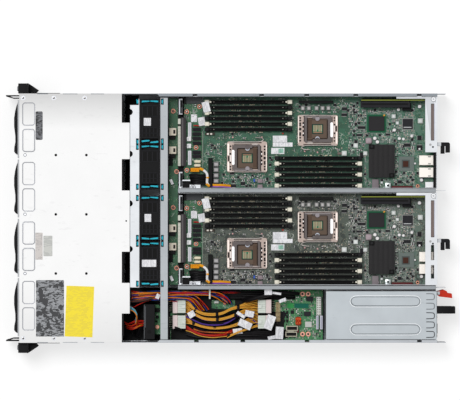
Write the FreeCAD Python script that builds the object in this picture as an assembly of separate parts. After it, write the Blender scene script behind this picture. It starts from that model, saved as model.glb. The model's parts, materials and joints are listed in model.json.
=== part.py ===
import FreeCAD, Part
import math
import os

# Two-unit rack server with four half-width server sleds, twelve front drive
# bays, four system fans and two hot-swap power supplies, top cover off.
# Millimetres. +Z is up, the drive bays face -Y, the sleds pull out towards +Y.
# The origin is the centre of the case's underside.

V = FreeCAD.Vector

# ---------------------------------------------------------------- case
PANEL_W = 482.6            # over the rack ears
CASE_W = 446.0             # over the side walls
CASE_H = 87.0              # top of the case
FRONT = -374.0             # front face of the case
REAR = 374.0               # rear edge of the base
SHEET = 1.2                # case sheet
THIN = 1.0                 # inner sheet
WALL = CASE_W / 2          # outer face of a side wall
INNER = WALL - SHEET       # inner face of a side wall
BEND_R = 1.8               # outer bend radius along the bottom edges
COVER_T = 1.0              # drive cage cover
FLANGE_W = 4.0             # inward top flange of a side wall
FLANGE_FRONT = -127.0      # where that flange starts
GUARD = 15.5               # wall tabs that guard the rear connectors
EASE = 0.3                 # clearance between sliding neighbours

# ---------------------------------------------------------------- drive bays
COLUMNS = 4
ROWS = 3
BAY_PITCH_X = 106.4
BAY_PITCH_Z = 28.2
BAY_BOTTOM = 1.4           # underside of the lowest carrier
CARRIER_W = 103.6
CARRIER_H = 26.4
CAGE_REAR = -192.0
LEDGE_W = 2.6
LEDGE_T = 0.8
DRIVE_W, DRIVE_D, DRIVE_H = 101.6, 147.0, 25.4
BEZEL_FACE = FRONT + 2.6   # front face of the carrier's bezel plate
BEZEL_LIP = 5.4            # how far its lips stand out from the plate
HINGE_R = 1.5              # lever hinge pin
PIN_GAP = 0.06             # running clearance on a pin

# ---------------------------------------------------------------- fans
FAN = 80.0                 # square frame
FAN_D = 38.0               # frame depth along the airflow
FAN_HOLES = 71.5           # corner hole spacing
FAN_BORE = 38.2
FAN_FRONT = -159.3         # intake face of the frames
FAN_Z = 43.2               # height of the rotor axes
FAN_X = (-172.9, -91.9, -0.3, 81.6)
BLADES = 7

# ---------------------------------------------------------------- sleds
SLED_X = (-135.9, 37.1)    # centres of the two sled columns
SLED_W = 165.6
SLED_FRONT = -90.0
LEVEL_Z = (1.5, 44.4)      # underside of the lower and the upper sled
SLED_H = 40.0
TRAY_WALL = 36.0
BOARD_W, BOARD_T = 163.4, 1.6
BOARD_FRONT, BOARD_REAR = -45.0, 368.0
STANDOFF = 5.0             # board underside above the tray's floor
SHELF_Z = 43.1             # underside of the shelf between the levels
DIMM_L, DIMM_W, DIMM_H = 133.0, 6.2, 10.5
DIMM_PITCH = 9.87
CPU_L, CPU_W = 71.9, 55.3

# ---------------------------------------------------------------- power
PSU_W, PSU_D, PSU_H = 86.0, 198.0, 40.0
PSU_X = 173.9
PSU_REAR = 373.0
PSU_Z = (1.5, 44.4)        # undersides of the two supplies
PDB_Z = 30.0               # power board
BAY_BOARD_Y = -132.0       # front edge of the small board behind the air blank


def box(x0, x1, y0, y1, z0, z1):
    return Part.makeBox(x1 - x0, y1 - y0, z1 - z0, V(x0, y0, z0))


def rod(x, y, z, radius, length, along=V(0, 0, 1)):
    return Part.makeCylinder(radius, length, V(x, y, z), along)


def cut(shape, tools):
    for tool in tools:
        shape = shape.cut(tool)
    return shape


def fuse(shapes):
    first, *others = shapes
    return first.fuse(others).removeSplitter()


def prism(points, z0, z1):
    """A plan outline, raised from z0 to z1."""
    wire = Part.makePolygon([V(x, y, z0) for x, y in points + points[:1]])
    return Part.Face(wire).extrude(V(0, 0, z1 - z0))


def run_of(points, y0, y1):
    """A section across the case, drawn in x and z and run from y0 to y1."""
    wire = Part.makePolygon([V(x, y0, z) for x, z in points + points[:1]])
    return Part.Face(wire).extrude(V(0, y1 - y0, 0))


def stadium(x, y, z0, z1, length, width):
    """A slot or pad with round ends, long along Y."""
    r = width / 2
    half = length / 2 - r
    near, far = V(x, y - half, z0), V(x, y + half, z0)
    side, end = V(r, 0, 0), V(0, r, 0)
    outline = [
        Part.LineSegment(near - side, far - side),
        Part.Arc(far - side, far + end, far + side),
        Part.LineSegment(far + side, near + side),
        Part.Arc(near + side, near - end, near - side),
    ]
    return Part.Face(Part.Wire([g.toShape() for g in outline])).extrude(V(0, 0, z1 - z0))


def clipped(x0, x1, y0, y1, z0, z1, corner):
    """A block with its four upright corners cut off."""
    c = corner
    return prism([(x0 + c, y0), (x1 - c, y0), (x1, y0 + c), (x1, y1 - c),
                  (x1 - c, y1), (x0 + c, y1), (x0, y1 - c), (x0, y0 + c)], z0, z1)


def standoff(x, y, z0, z1, across=5.5):
    """A hexagonal spacer."""
    r = across / math.sqrt(3)
    corners = [(x + r * math.cos(math.radians(60 * i)), y + r * math.sin(math.radians(60 * i))) for i in range(6)]
    return prism(corners, z0, z1)


def bundle(points, width, height):
    """Wires laid side by side: a flat six-sided section along straight runs and tangent arcs."""
    corners = [V(*p) for p in points]
    edges, start, bends = [], corners[0], []
    for before, corner, after in zip(corners, corners[1:], corners[2:]):
        back, on = before - corner, after - corner
        trim = 0.45 * min(back.Length, on.Length)
        back.normalize()
        on.normalize()
        half_turn = (math.pi - back.getAngle(on)) / 2
        bend = trim / math.tan(half_turn)
        middle = corner + (back + on).normalize() * (bend / math.cos(half_turn) - bend)
        entry, leave = corner + back * trim, corner + on * trim
        edges.append(Part.LineSegment(start, entry).toShape())
        edges.append(Part.Arc(entry, middle, leave).toShape())
        bends.append(round(bend, 1))
        start = leave
    edges.append(Part.LineSegment(start, corners[-1]).toShape())
    path = Part.Wire(edges)
    # every bundle leaves its plug along Y, so its section stands across X
    w, h = width / 2, height / 2
    ring = [(-w, 0), (-0.6 * w, h), (0.6 * w, h), (w, 0), (0.6 * w, -h), (-0.6 * w, -h), (-w, 0)]
    section = Part.makePolygon([corners[0] + V(a, 0, b) for a, b in ring])
    solid = path.makePipeShell([section], True, False)
    share = solid.Volume / (1.6 * width * height / 2 * path.Length)
    print(f"bundle {width} mm wide, {path.Length:.0f} mm long, bends {bends}, volume share {share:.3f}")
    return solid


# ================================================================ case
def chassis_tray():
    """Base and side walls folded from one sheet, with a narrow top flange."""
    r = BEND_R
    lean = r * (1 - math.sqrt(0.5))
    outline = [
        Part.LineSegment(V(-WALL, FRONT, CASE_H), V(-WALL, FRONT, r)),
        Part.Arc(V(-WALL, FRONT, r), V(-WALL + lean, FRONT, lean), V(-WALL + r, FRONT, 0)),
        Part.LineSegment(V(-WALL + r, FRONT, 0), V(WALL - r, FRONT, 0)),
        Part.Arc(V(WALL - r, FRONT, 0), V(WALL - lean, FRONT, lean), V(WALL, FRONT, r)),
        Part.LineSegment(V(WALL, FRONT, r), V(WALL, FRONT, CASE_H)),
        Part.LineSegment(V(WALL, FRONT, CASE_H), V(INNER, FRONT, CASE_H)),
        Part.LineSegment(V(INNER, FRONT, CASE_H), V(INNER, FRONT, SHEET)),
        Part.LineSegment(V(INNER, FRONT, SHEET), V(-INNER, FRONT, SHEET)),
        Part.LineSegment(V(-INNER, FRONT, SHEET), V(-INNER, FRONT, CASE_H)),
        Part.LineSegment(V(-INNER, FRONT, CASE_H), V(-WALL, FRONT, CASE_H)),
    ]
    wire = Part.Wire([g.toShape() for g in outline])
    shell = Part.Face(wire).extrude(V(0, REAR + GUARD - FRONT, 0))
    # the base stops at the rear edge, and the walls go on as guard tabs
    shell = shell.cut(box(-INNER, INNER, REAR, REAR + GUARD, 0, SHEET))
    for z0, z1 in ((-1, 8), (79, CASE_H + 1)):
        shell = shell.cut(box(-WALL - 1, WALL + 1, REAR, REAR + GUARD + 1, z0, z1))
    # the cage cover lies on lowered walls
    shell = shell.cut(box(-WALL - 1, WALL + 1, FRONT - 1, CAGE_REAR + 16, CASE_H - COVER_T, CASE_H + 1))
    pieces = [shell]
    for side in (-1, 1):
        ends = sorted((side * INNER, side * (INNER - FLANGE_W)))
        slant = FLANGE_W
        flange = [
            (side * INNER, FLANGE_FRONT),
            (side * INNER, REAR),
            (side * (INNER - FLANGE_W), REAR),
            (side * (INNER - FLANGE_W), FLANGE_FRONT + slant),
        ]
        pieces.append(prism(flange, CASE_H - SHEET, CASE_H))
        lip = sorted((side * INNER, side * 213.8))
        pieces.append(box(lip[0], lip[1], FRONT, FRONT + SHEET, SHEET, CASE_H - COVER_T))
    tray = fuse(pieces)
    notches = []
    for side, places in ((-1, (-59.5, 59.5, 140.3, 228.2, 341.6)), (1, (-57.0, 26.0, 141.0, 342.0))):
        for y in places:
            inner, outer = sorted((side * (INNER - FLANGE_W - 1), side * INNER))
            notches.append(box(inner, outer, y - 4, y + 4, CASE_H - SHEET - 1, CASE_H + 1))
    return cut(tray, notches)


def bay_frame():
    """Walls between the sled columns and beside the supplies, and the shelves."""
    top = CASE_H - SHEET - EASE
    web, half_flange = THIN, 3.0
    parts = []
    centres = ((SLED_X[0] + SLED_X[1]) / 2, 124.3)
    for x in centres:
        section = [
            (x - web / 2, SHEET), (x + web / 2, SHEET), (x + web / 2, top - THIN),
            (x + half_flange, top - THIN), (x + half_flange, top),
            (x - half_flange, top), (x - half_flange, top - THIN), (x - web / 2, top - THIN),
        ]
        wall = run_of(section, SLED_FRONT, REAR - 3)
        tab = box(x - web / 2, x + web / 2, REAR - 3, REAR + GUARD, 12, 76)
        parts.append(fuse([wall, tab]))
    left, right = (x - web / 2 for x in centres)
    z0, z1 = SHELF_Z, SHELF_Z + THIN
    parts.append(box(-INNER, left, SLED_FRONT, REAR - 6, z0, z1))
    parts.append(box(left + web, right, SLED_FRONT, REAR - 6, z0, z1))
    parts.append(box(right + web, INNER, PSU_REAR - PSU_D, REAR - 6, z0, z1))
    return parts


def drive_cage():
    """Five upright walls with ledges that the carriers run on."""
    walls = []
    top = CASE_H - COVER_T
    for i in range(COLUMNS + 1):
        x = (i - COLUMNS / 2) * BAY_PITCH_X
        pieces = [box(x - THIN / 2, x + THIN / 2, FRONT + 2, CAGE_REAR, SHEET, top)]
        sides = [s for s in (-1, 1) if abs(x + s) < COLUMNS / 2 * BAY_PITCH_X]
        for level in range(1, ROWS):
            z = BAY_BOTTOM + level * BAY_PITCH_Z - LEDGE_T - 0.2
            reach = [x - THIN / 2 - (LEDGE_W if -1 in sides else 0), x + THIN / 2 + (LEDGE_W if 1 in sides else 0)]
            pieces.append(box(reach[0], reach[1], FRONT + 12, CAGE_REAR - 4, z, z + LEDGE_T))
        walls.append(fuse(pieces))
    return walls


def drive_cage_cover():
    """Flat cover over the drives, with pressed pads and a stepped rear edge."""
    z0, z1 = CASE_H - COVER_T, CASE_H
    tab, notch = CAGE_REAR + 15.6, CAGE_REAR + 1.6
    plate = box(-WALL, WALL, FRONT, notch, z0, z1)
    tabs = [box(a, b, notch - 1, tab, z0, z1) for a, b in ((-170.8, -105.6), (-49.5, 60.0), (115.8, 170.6))]
    plate = fuse([plate] + tabs)
    tools = []
    pad_w, pad_d, corner, sink = 41.5, 23.0, 3.4, 0.35
    for i in range(COLUMNS):
        x = (i - (COLUMNS - 1) / 2) * BAY_PITCH_X - 3.0
        for side in (-1, 1):
            cx = x + side * 23.6
            tools.append(clipped(cx - pad_w / 2, cx + pad_w / 2, FRONT + 5.5, FRONT + 5.5 + pad_d,
                                 z1 - sink, z1 + 1, corner))
    for side in (-1, 1):
        for y, half in ((-332.1, 9.6), (-282.8, 13.2), (-234.0, 11.9)):
            inner, outer = sorted((side * (WALL - SHEET), side * (WALL + 1)))
            tools.append(box(inner, outer, y - half, y + half, z0 - 1, z1 + 1))
    return cut(plate, tools)


# ================================================================ rack ears
EAR_BACK = -357.7          # plane that meets the rack's posts
EAR_T = 2.5
EAR_HOLE_X = 465.1 / 2
EAR_HOLE_Z = (5.4, 81.6)   # first and sixth holes of two rack units
EAR_HOLE_R = 3.4
PANEL_FRONT = -376.2
PANEL_Z = (11.5, 75.5)
BUTTON_Z = (31.0, 56.0)
BUTTON_X = 232.2
BUTTON_R = 4.2
HANDLE_TIP = -398.2


def rack_ear(side):
    """Steel ear, its plastic control housing, rail latch and pull handle."""
    out, wall = side * PANEL_W / 2, side * (WALL + THIN)

    def span(a, b):
        return sorted((side * a, side * b))

    x0, x1 = sorted((out, side * WALL))
    flange = box(x0, x1, EAR_BACK - EAR_T, EAR_BACK, 0.5, CASE_H - 0.5)
    x0, x1 = sorted((wall, side * WALL))
    strap = box(x0, x1, EAR_BACK - EAR_T, EAR_BACK + 56, 7, 80)
    holes = [rod(side * EAR_HOLE_X, EAR_BACK - 5, z, EAR_HOLE_R, 8, V(0, 1, 0)) for z in EAR_HOLE_Z]
    steel = cut(fuse([flange, strap]), holes)

    x0, x1 = sorted((out, side * (WALL + 0.2)))
    housing = box(x0, x1, PANEL_FRONT, EAR_BACK - EAR_T, *PANEL_Z)
    long_edges = [e for e in housing.Edges
                  if abs(e.Vertexes[0].Z - e.Vertexes[-1].Z) > 50 and e.Vertexes[0].Y < PANEL_FRONT + 1]
    housing = housing.makeChamfer(0.8, long_edges)
    bores = [rod(side * BUTTON_X, PANEL_FRONT - 1, z, BUTTON_R + 0.25, 7.5, V(0, 1, 0)) for z in BUTTON_Z]
    housing = cut(housing, bores)

    reach = WALL + THIN + 0.2
    latch = prism([(side * reach, EAR_BACK), (out, EAR_BACK), (side * (reach + 5.4), EAR_BACK + 17.4),
                   (side * reach, EAR_BACK + 13)], 24, 63)

    # a folded strap: straight outside, slanting back inside, open between
    heel, toe = span(214.4, 220.4)
    outer, inner = (heel, toe) if side < 0 else (toe, heel)
    inward = 1 if outer < inner else -1
    t = 1.7
    strap_handle = prism([
        (outer, FRONT), (outer, HANDLE_TIP), (outer + inward * 2.2, HANDLE_TIP),
        (inner, HANDLE_TIP + 12.5), (inner, FRONT), (inner - inward * t, FRONT),
        (inner - inward * t, HANDLE_TIP + 13.2), (outer + inward * t, HANDLE_TIP + 5.5),
        (outer + inward * t, FRONT),
    ], 16, 71)
    return [steel, housing, latch, strap_handle]


def power_button(side, z):
    """A round cap that presses into the control housing."""
    return rod(side * BUTTON_X, PANEL_FRONT - 1.6, z, BUTTON_R, 5.6, V(0, 1, 0))


# ================================================================ drives
def bay_origin(column, row):
    x = (column - (COLUMNS - 1) / 2) * BAY_PITCH_X
    return x, BAY_BOTTOM + row * BAY_PITCH_Z


def drive_carrier(column, row):
    """Carrier with side rails and a lipped bezel, and the drive between its rails."""
    x, z = bay_origin(column, row)
    half = CARRIER_W / 2
    top = z + CARRIER_H
    plate_back = BEZEL_FACE + 3.4
    lip_front = BEZEL_FACE - BEZEL_LIP
    lip = 1.4
    block = box(x - half, x + half, lip_front, -206.0, z, top)
    mouth = box(x - half - 1, x + half - 5.0, lip_front - 1, BEZEL_FACE, z + lip, top - lip)
    well = box(x - half + THIN, x + half - THIN, plate_back, -205.0, z - 1, top + 1)
    pin_x, pin_y = lever_hinge(x)
    pocket = box(x - half - 1, pin_x + 3.4, BEZEL_FACE - 1, BEZEL_FACE + 1.2, z + lip, top - lip)
    frame = fuse([cut(block, [mouth, well, pocket]), rod(pin_x, pin_y, z + 0.5, HINGE_R, CARRIER_H - 1)])
    drive = box(x - DRIVE_W / 2, x + DRIVE_W / 2, plate_back + 2, plate_back + 2 + DRIVE_D,
                z + 0.5, z + 0.5 + DRIVE_H)
    return [frame, drive]


def lever_hinge(x):
    return x - CARRIER_W / 2 + 4.2, BEZEL_FACE - 2.2


def drive_lever(column, row):
    """Swept-front lever that swings out on its left end to draw the carrier."""
    x, z = bay_origin(column, row)
    z0, z1 = z + 1.9, z + CARRIER_H - 1.9
    pin_x, pin_y = lever_hinge(x)
    left, back = x - CARRIER_W / 2, BEZEL_FACE - 1.0
    # distance along the bezel, and how far the face stands in front of the case
    face = ((6.0, 3.2), (10.6, 5.0), (20.5, 7.6), (32.6, 9.3), (47.0, 9.3), (63.6, 7.2), (75.0, 7.0),
            (84.0, 8.8), (92.0, 9.3), (95.2, 7.4), (97.6, 4.0))
    knuckle = [(pin_x + a, pin_y + b) for a, b in ((2.7, 1.2), (1.2, 2.7), (-1.2, 2.7), (-2.7, 1.2), (-2.7, -1.2),
                                                   (-1.2, -2.7))]
    plan = [(left + a, FRONT - proud) for a, proud in face] + [(left + 98.0, back)] + knuckle
    return prism(plan, z0, z1).cut(rod(pin_x, pin_y, z0 - 1, HINGE_R + PIN_GAP, z1 - z0 + 2))


def drive_backplane():
    """Circuit board behind the drives with one socket for each."""
    board_y = CAGE_REAR + 3.5
    board = box(-211, 211, board_y, board_y + BOARD_T, SHEET, 85.0)
    vents, sockets = [], []
    for column in range(COLUMNS):
        for row in range(ROWS):
            x, z = bay_origin(column, row)
            sockets.append(box(x - 22, x + 22, board_y - 6.5, board_y, z + 3, z + 9))
            vents.append(box(x - 30, x + 30, board_y - 1, board_y + BOARD_T + 1, z + 17, z + 23))
    return [cut(board, vents)] + sockets


# ================================================================ fans
RAIL_Y = FAN_FRONT         # rear face of the intake rail's web
BRACE_Y = FAN_FRONT + FAN_D


PIN_SHANK = 3.0            # square shank of a rubber pin


def fan_corners(x):
    half = FAN_HOLES / 2
    return [(x + a, FAN_Z + b) for a in (-half, half) for b in (-half, half)]


def fan_brackets():
    """Intake rail in front of the fans and the cross brace behind them."""
    top = CASE_H - SHEET - 0.8
    low = SHEET
    rail = fuse([
        box(-213.5, 123.8, RAIL_Y - THIN, RAIL_Y, low, top),
        box(-202.4, 123.8, -175.6, RAIL_Y, top - THIN, top),
    ])
    left, right = -215.4, 217.0
    brace = fuse([
        box(left, 123.8, BRACE_Y, BRACE_Y + THIN, low, top),
        box(left, right, BRACE_Y, BRACE_Y + 13, top - THIN, top),
        box(left, right, BRACE_Y + 13 - THIN, BRACE_Y + 13, top - 9, top),
        box(right - THIN, right, BRACE_Y, BRACE_Y + 13, low, top),
    ])
    opening, clip = FAN_BORE - 0.6, 12.0
    ring = [(opening, clip - opening), (opening, opening - clip), (opening - clip, opening),
            (clip - opening, opening), (-opening, opening - clip), (-opening, clip - opening),
            (clip - opening, -opening), (opening - clip, -opening)]
    tools = []
    for x in FAN_X:
        tools.append(run_of([(x + a, FAN_Z + b) for a, b in ring], RAIL_Y - 5, RAIL_Y + 60))
        for cx, cz in fan_corners(x):
            h = PIN_SHANK / 2
            tools.append(box(cx - h, cx + h, RAIL_Y - 5, RAIL_Y + 60, cz - h, cz + h))
    notches = [rod(x, -176.4, top - 3, 5.5, 6) for x in (-189.8, -115.0, -26.4, 55.2)]
    for x in (x + side * FAN_HOLES / 2 for x in FAN_X for side in (-1, 1)):
        notches.append(box(x - 5.5, x + 5.5, RAIL_Y - 5.8, RAIL_Y - THIN, top - 2, top + 1))
        tools.append(box(x - 5.5, x + 5.5, BRACE_Y + THIN, BRACE_Y + 5.8, top - 2, top + 1))
    return [cut(rail, tools + notches), cut(brace, tools)]


def air_blank():
    """Folded blank that closes the power column beside the last fan."""
    x0, x1, y0, y1, top = 154.6, 217.0, -150.6, BAY_BOARD_Y, 66.0
    shell = box(x0, x1, y0, y1, SHEET, top)
    hollow = box(x0 - 1, x1 + 1, y0 + THIN, y1 - THIN, SHEET - 1, top - THIN)
    return cut(shell, [hollow, rod(203.7, -141.6, top - 5, 3.2, 8)])


def fan_frame(x):
    """Square fan frame: round duct, corners open between the flanges, motor struts."""
    y0, y1 = FAN_FRONT, FAN_FRONT + FAN_D
    half, t = FAN / 2, 4.0
    along = V(0, 1, 0)
    frame = box(x - half, x + half, y0, y1, FAN_Z - half, FAN_Z + half)
    frame = frame.cut(rod(x, y0 - 1, FAN_Z, FAN_BORE, FAN_D + 2, along))
    hub = rod(x, y1 - 5, FAN_Z, 17.0, 5, along)
    struts = []
    for i in range(4):
        strut = box(x + 15, x + FAN_BORE + 0.8, y1 - 4, y1, FAN_Z - 1.5, FAN_Z + 1.5)
        struts.append(strut.rotate(V(x, y1, FAN_Z), along, 45 + 90 * i))
    tools = [rod(x, y1 - 6, FAN_Z, HINGE_R + PIN_GAP, 4, along)]
    h, open_corner = PIN_SHANK / 2, 9.5
    for cx, cz in fan_corners(x):
        tools.append(box(cx - h, cx + h, y0 - 1, y1 + 1, cz - h, cz + h))
        ax, az = x + math.copysign(half, cx - x), FAN_Z + math.copysign(half, cz - FAN_Z)
        tools.append(box(ax - open_corner, ax + open_corner, y0 + t, y1 - t, az - open_corner, az + open_corner))
    return cut(fuse([frame, hub] + struts), tools)


def fan_rotor(x):
    """Motor hub with cambered blades, on a shaft in the frame's bearing."""
    along = V(0, 1, 0)
    y0, length = FAN_FRONT + 3.0, 27.5
    hub = rod(x, y0, FAN_Z, 18.0, length, along)
    shaft = rod(x, y0 + length - 1, FAN_Z, HINGE_R, 6.0, along)
    middle = y0 + length / 2
    # a cambered section, leaning across the airflow, raised from the hub to the tip
    camber = [(-8.6, -11.0), (-1.4, -5.2), (4.6, 2.2), (8.6, 11.0), (7.2, 11.0), (3.2, 3.0), (-2.6, -4.2)]
    blade = prism([(x + a, middle + b) for a, b in camber], FAN_Z + 16.2, FAN_Z + 36.0)
    blades = []
    for i in range(BLADES):
        blades.append(blade.copy().rotate(V(x, middle, FAN_Z), along, 360 / BLADES * i))
    return fuse([hub, shaft] + blades)


def fan_mounts():
    """Rubber pins through each fan's corners and its rail and brace."""
    pins = []
    h, proud = PIN_SHANK / 2, 3.0
    for x in FAN_X:
        for cx, cz in fan_corners(x):
            for sign, face in ((-1, RAIL_Y - THIN), (1, BRACE_Y + THIN)):
                y0, y1 = sorted((face + sign * proud, FAN_FRONT + FAN_D / 2 + sign * 1.0))
                pins.append(box(cx - h, cx + h, y0, y1, cz - h, cz + h))
    return pins


# ================================================================ sleds
def sled_place(column, level):
    return SLED_X[column], LEVEL_Z[level]


JACKS = (32.1, 54.0)       # centres of the two network jacks across the sled
JACK_W, JACK_H, JACK_D = 17.6, 13.4, 27.6
USB_X = 76.0
VGA_X = -4.0
PANEL_Y = REAR - THIN      # inner face of a sled's rear panel
LATCH_X = 3.3              # sled latch, across the sled
ARM_FRONT = 300.8          # where the top bracket's side arm ends
TAB_W, TAB_H = 28.0, 22.0  # upright front tabs beside the edge plug
PLUG_FACE = -85.0          # where a sled's plug meets the midplane socket


def board_top(z):
    return z + THIN + STANDOFF + BOARD_T


def sled_tray(column, level):
    """Folded tray with side walls, a rear port panel and a top bracket."""
    cx, z = sled_place(column, level)
    half = SLED_W / 2
    top = z + SLED_H
    pieces = [
        box(cx - half, cx + half, SLED_FRONT, REAR, z, z + THIN),
        box(cx - half, cx - half + THIN, SLED_FRONT, REAR, z, z + TRAY_WALL),
        box(cx + half - THIN, cx + half, SLED_FRONT, REAR, z, z + TRAY_WALL),
        box(cx - half, cx + half, PANEL_Y, REAR, z, top),
        box(cx - half, cx + (18 if column == 0 else half), REAR - 21.5, REAR, top - THIN, top),
        box(cx - half, cx - half + THIN, ARM_FRONT, REAR, z, top),
        box(cx - half, cx - half + 5, ARM_FRONT, REAR, top - THIN, top),
    ]
    for u in (-78.0, 53.0):
        pieces.append(box(cx + u, cx + u + TAB_W, SLED_FRONT + 1.5, SLED_FRONT + 1.5 + THIN, z, z + TAB_H))
        pieces.append(box(cx + u, cx + u + TAB_W, SLED_FRONT + 1.5, SLED_FRONT + 8, z + TAB_H - THIN, z + TAB_H))
    tray = fuse(pieces)
    bt = board_top(z)
    tools = [box(cx + u - 7.2, cx + u + 7.2, PANEL_Y - 1, REAR + 1, bt + 1.2, bt + 1.2 + 11.0) for u in JACKS]
    tools.append(box(cx + USB_X - 3.6, cx + USB_X + 3.6, PANEL_Y - 1, REAR + 1, bt + 0.6, bt + 14.5))
    tools.append(box(cx + VGA_X - 9.5, cx + VGA_X + 9.5, PANEL_Y - 1, REAR + 1, bt + 1.0, bt + 9.5))
    tools.append(box(cx - 76, cx - 18, PANEL_Y - 1, REAR + 1, z + 22, z + 34))
    tools.append(grip_slot(cx - 36, REAR - 8.5, top, 66, 5.6))
    if column == 1:
        tools.append(grip_slot(cx + 24.5, REAR - 8.5, top, 27, 5.6))
        tools.append(grip_slot(cx + 59, REAR - 8.5, top, 24, 5.6))
    return cut(tray, tools)


def grip_slot(x, y, top, length, width):
    """A long opening through a sled's top bracket."""
    return box(x - length / 2, x + length / 2, y - width / 2, y + width / 2, top - 2 * THIN, top + 1)


def memory_bank(cx, zt, first, y_mid, slots=6):
    """A row of module sockets, each with its swing latch at both ends."""
    half = DIMM_L / 2
    latch = DIMM_H + 3.5
    outline = [
        (y_mid - half - 5, zt), (y_mid + half + 5, zt), (y_mid + half + 12, zt + latch),
        (y_mid + half + 2, zt + latch), (y_mid + half + 2, zt + DIMM_H), (y_mid - half - 2, zt + DIMM_H),
        (y_mid - half - 2, zt + latch), (y_mid - half - 12, zt + latch),
    ]
    places = [cx + first + i * DIMM_PITCH for i in range(slots)]
    return [run_side(outline, u - DIMM_W / 2, u + DIMM_W / 2) for u in places]


def cpu_socket(x, y, zt):
    """Land-grid socket: base, load plate with its window, and the cap in it."""
    half_w, half_l = CPU_W / 2, CPU_L / 2
    base = box(x - half_w + 4, x + half_w - 4, y - half_l + 10, y + half_l - 10, zt, zt + 3.4)
    plate = clipped(x - half_w, x + half_w, y - half_l, y + half_l, zt + 3.4, zt + 5.4, 4.0)
    plate = plate.cut(box(x - 18.5, x + 18.5, y - 17, y + 21, zt + 3, zt + 6))
    cap = box(x - 17.5, x + 17.5, y - 16, y + 20, zt + 3.4, zt + 6.6)
    return [base, plate, cap]


def jack(x, zt):
    """Shielded network jack with its open mouth towards the rear."""
    y1 = PANEL_Y
    shell = box(x - JACK_W / 2, x + JACK_W / 2, y1 - JACK_D, y1, zt, zt + JACK_H)
    return shell.cut(box(x - 6.0, x + 6.0, y1 - 12, y1 + 1, zt + 2.4, zt + 10.8))


def mainboard(column, level):
    """Sled circuit board with sockets, chips, jacks, riser and board-edge plug."""
    cx, z = sled_place(column, level)
    zt = board_top(z)
    half = BOARD_W / 2
    pcb = box(cx - half, cx + half, BOARD_FRONT, BOARD_REAR, zt - BOARD_T, zt)
    pieces = [pcb]
    pieces += memory_bank(cx, zt, -72.4, 36.1)
    pieces += memory_bank(cx, zt, 28.3, 161.4)
    pieces += cpu_socket(cx + 26.0, 33.7, zt)
    pieces += cpu_socket(cx - 21.5, 160.6, zt)
    for u, y, du, dy, h in (
        (-33.7, 265.7, 24.5, 27.7, 3.0),    # input-output hub
        (33.6, 274.9, 59.6, 46.2, 11.0),    # chipset heat sink
        (-33.2, 322.0, 18.4, 19.5, 2.0),    # management controller
        (38.1, 319.0, 21.4, 23.2, 2.4),     # south bridge
        (75.4, 262.6, 10.6, 11.0, 7.0),     # power choke
        (-72.0, 158.0, 6.0, 65.0, 11.0),    # power header by the second socket
        (53.0, -31.5, 52.0, 7.8, 12.0),     # power header by the first socket
    ):
        pieces.append(box(cx + u - du / 2, cx + u + du / 2, y - dy / 2, y + dy / 2, zt, zt + h))
    pieces += [jack(cx + u, zt) for u in JACKS]
    pieces.append(box(cx + USB_X - 3.3, cx + USB_X + 3.3, PANEL_Y - 17, PANEL_Y, zt, zt + 14))
    pieces.append(box(cx + VGA_X - 15.5, cx + VGA_X + 15.5, PANEL_Y - 12, PANEL_Y, zt, zt + 12))
    # riser card standing in its slot
    pieces.append(box(cx - 78.6, cx - 72.0, 240, 324, zt, zt + 9))
    pieces.append(box(cx - 76.1, cx - 74.5, 238, 330, zt + 9, zt + 30))
    pieces.append(box(cx - 74.5, cx - 63.0, 238, 325, zt + 14, zt + 21))
    # edge board in front of the mainboard, with the plug that meets the midplane
    pieces.append(box(cx - 69, cx + 78, -79.2, -46.0, zt - BOARD_T, zt))
    plug = fuse([box(cx - 43, cx + 43, PLUG_FACE, -75.9, zt, zt + 9.0),
                 box(cx - 40, cx + 40, PLUG_FACE - 4.2, PLUG_FACE, zt + 3.4, zt + 5.4)])
    pieces.append(plug)
    return pieces


def sled_latch(column, level):
    """Two-legged thumb latch on the rear panel, turning on an upright pin."""
    cx, z = sled_place(column, level)
    x, y = cx + LATCH_X, REAR + 4.0
    z0, z1 = z + 20.0, z + 33.0
    plan = [
        (x - 3.2, y - 3.0), (x + 3.2, y - 3.0), (x + 3.2, y + 3.6), (x + 17.0, y + 3.6), (x + 17.0, y + 9.4),
        (x + 3.2, y + 9.4), (x + 3.2, y + 12.4), (x + 15.0, y + 12.4), (x + 15.0, y + 19.0), (x - 0.8, y + 19.0),
        (x - 3.2, y + 16.6),
    ]
    body = prism(plan, z0, z1)
    return body.cut(rod(x, y, z0 - 1, HINGE_R + PIN_GAP, z1 - z0 + 2))


def latch_bracket(column, level):
    """Ears and pin on the rear panel that the latch turns on."""
    cx, z = sled_place(column, level)
    x, y = cx + LATCH_X, REAR + 4.0
    ears = [box(x - 3.2, x + 3.2, REAR, y + 3.0, z + a, z + a + 1.2) for a in (18.3, 33.5)]
    pin = rod(x, y, z + 18.5, HINGE_R, 16.0)
    return fuse(ears + [pin])


# ================================================================ midplane and power
def midplane():
    """Two boards that link the sleds, one per level, each with two sockets."""
    pieces = []
    for level in (0, 1):
        zt = board_top(LEVEL_Z[level])
        edge = PLUG_FACE - 5.4
        pieces.append(box(-215.0, 119.5, -106.6, edge, zt - BOARD_T, zt))
        for column in (0, 1):
            cx = SLED_X[column]
            socket = box(cx - 42.5, cx + 42.5, edge, PLUG_FACE - 0.3, zt - 3.0, zt + 8.8)
            pieces.append(socket.cut(box(cx - 41, cx + 41, PLUG_FACE - 4.5, PLUG_FACE + 1, zt + 3.0, zt + 5.8)))
    low, high = board_top(LEVEL_Z[0]), board_top(LEVEL_Z[1]) - BOARD_T
    posts = []
    for x in (-205, -48, 110):
        posts += [standoff(x, -101.5, SHEET, low - BOARD_T), standoff(x, -101.5, low, high)]
    return pieces + posts


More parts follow.
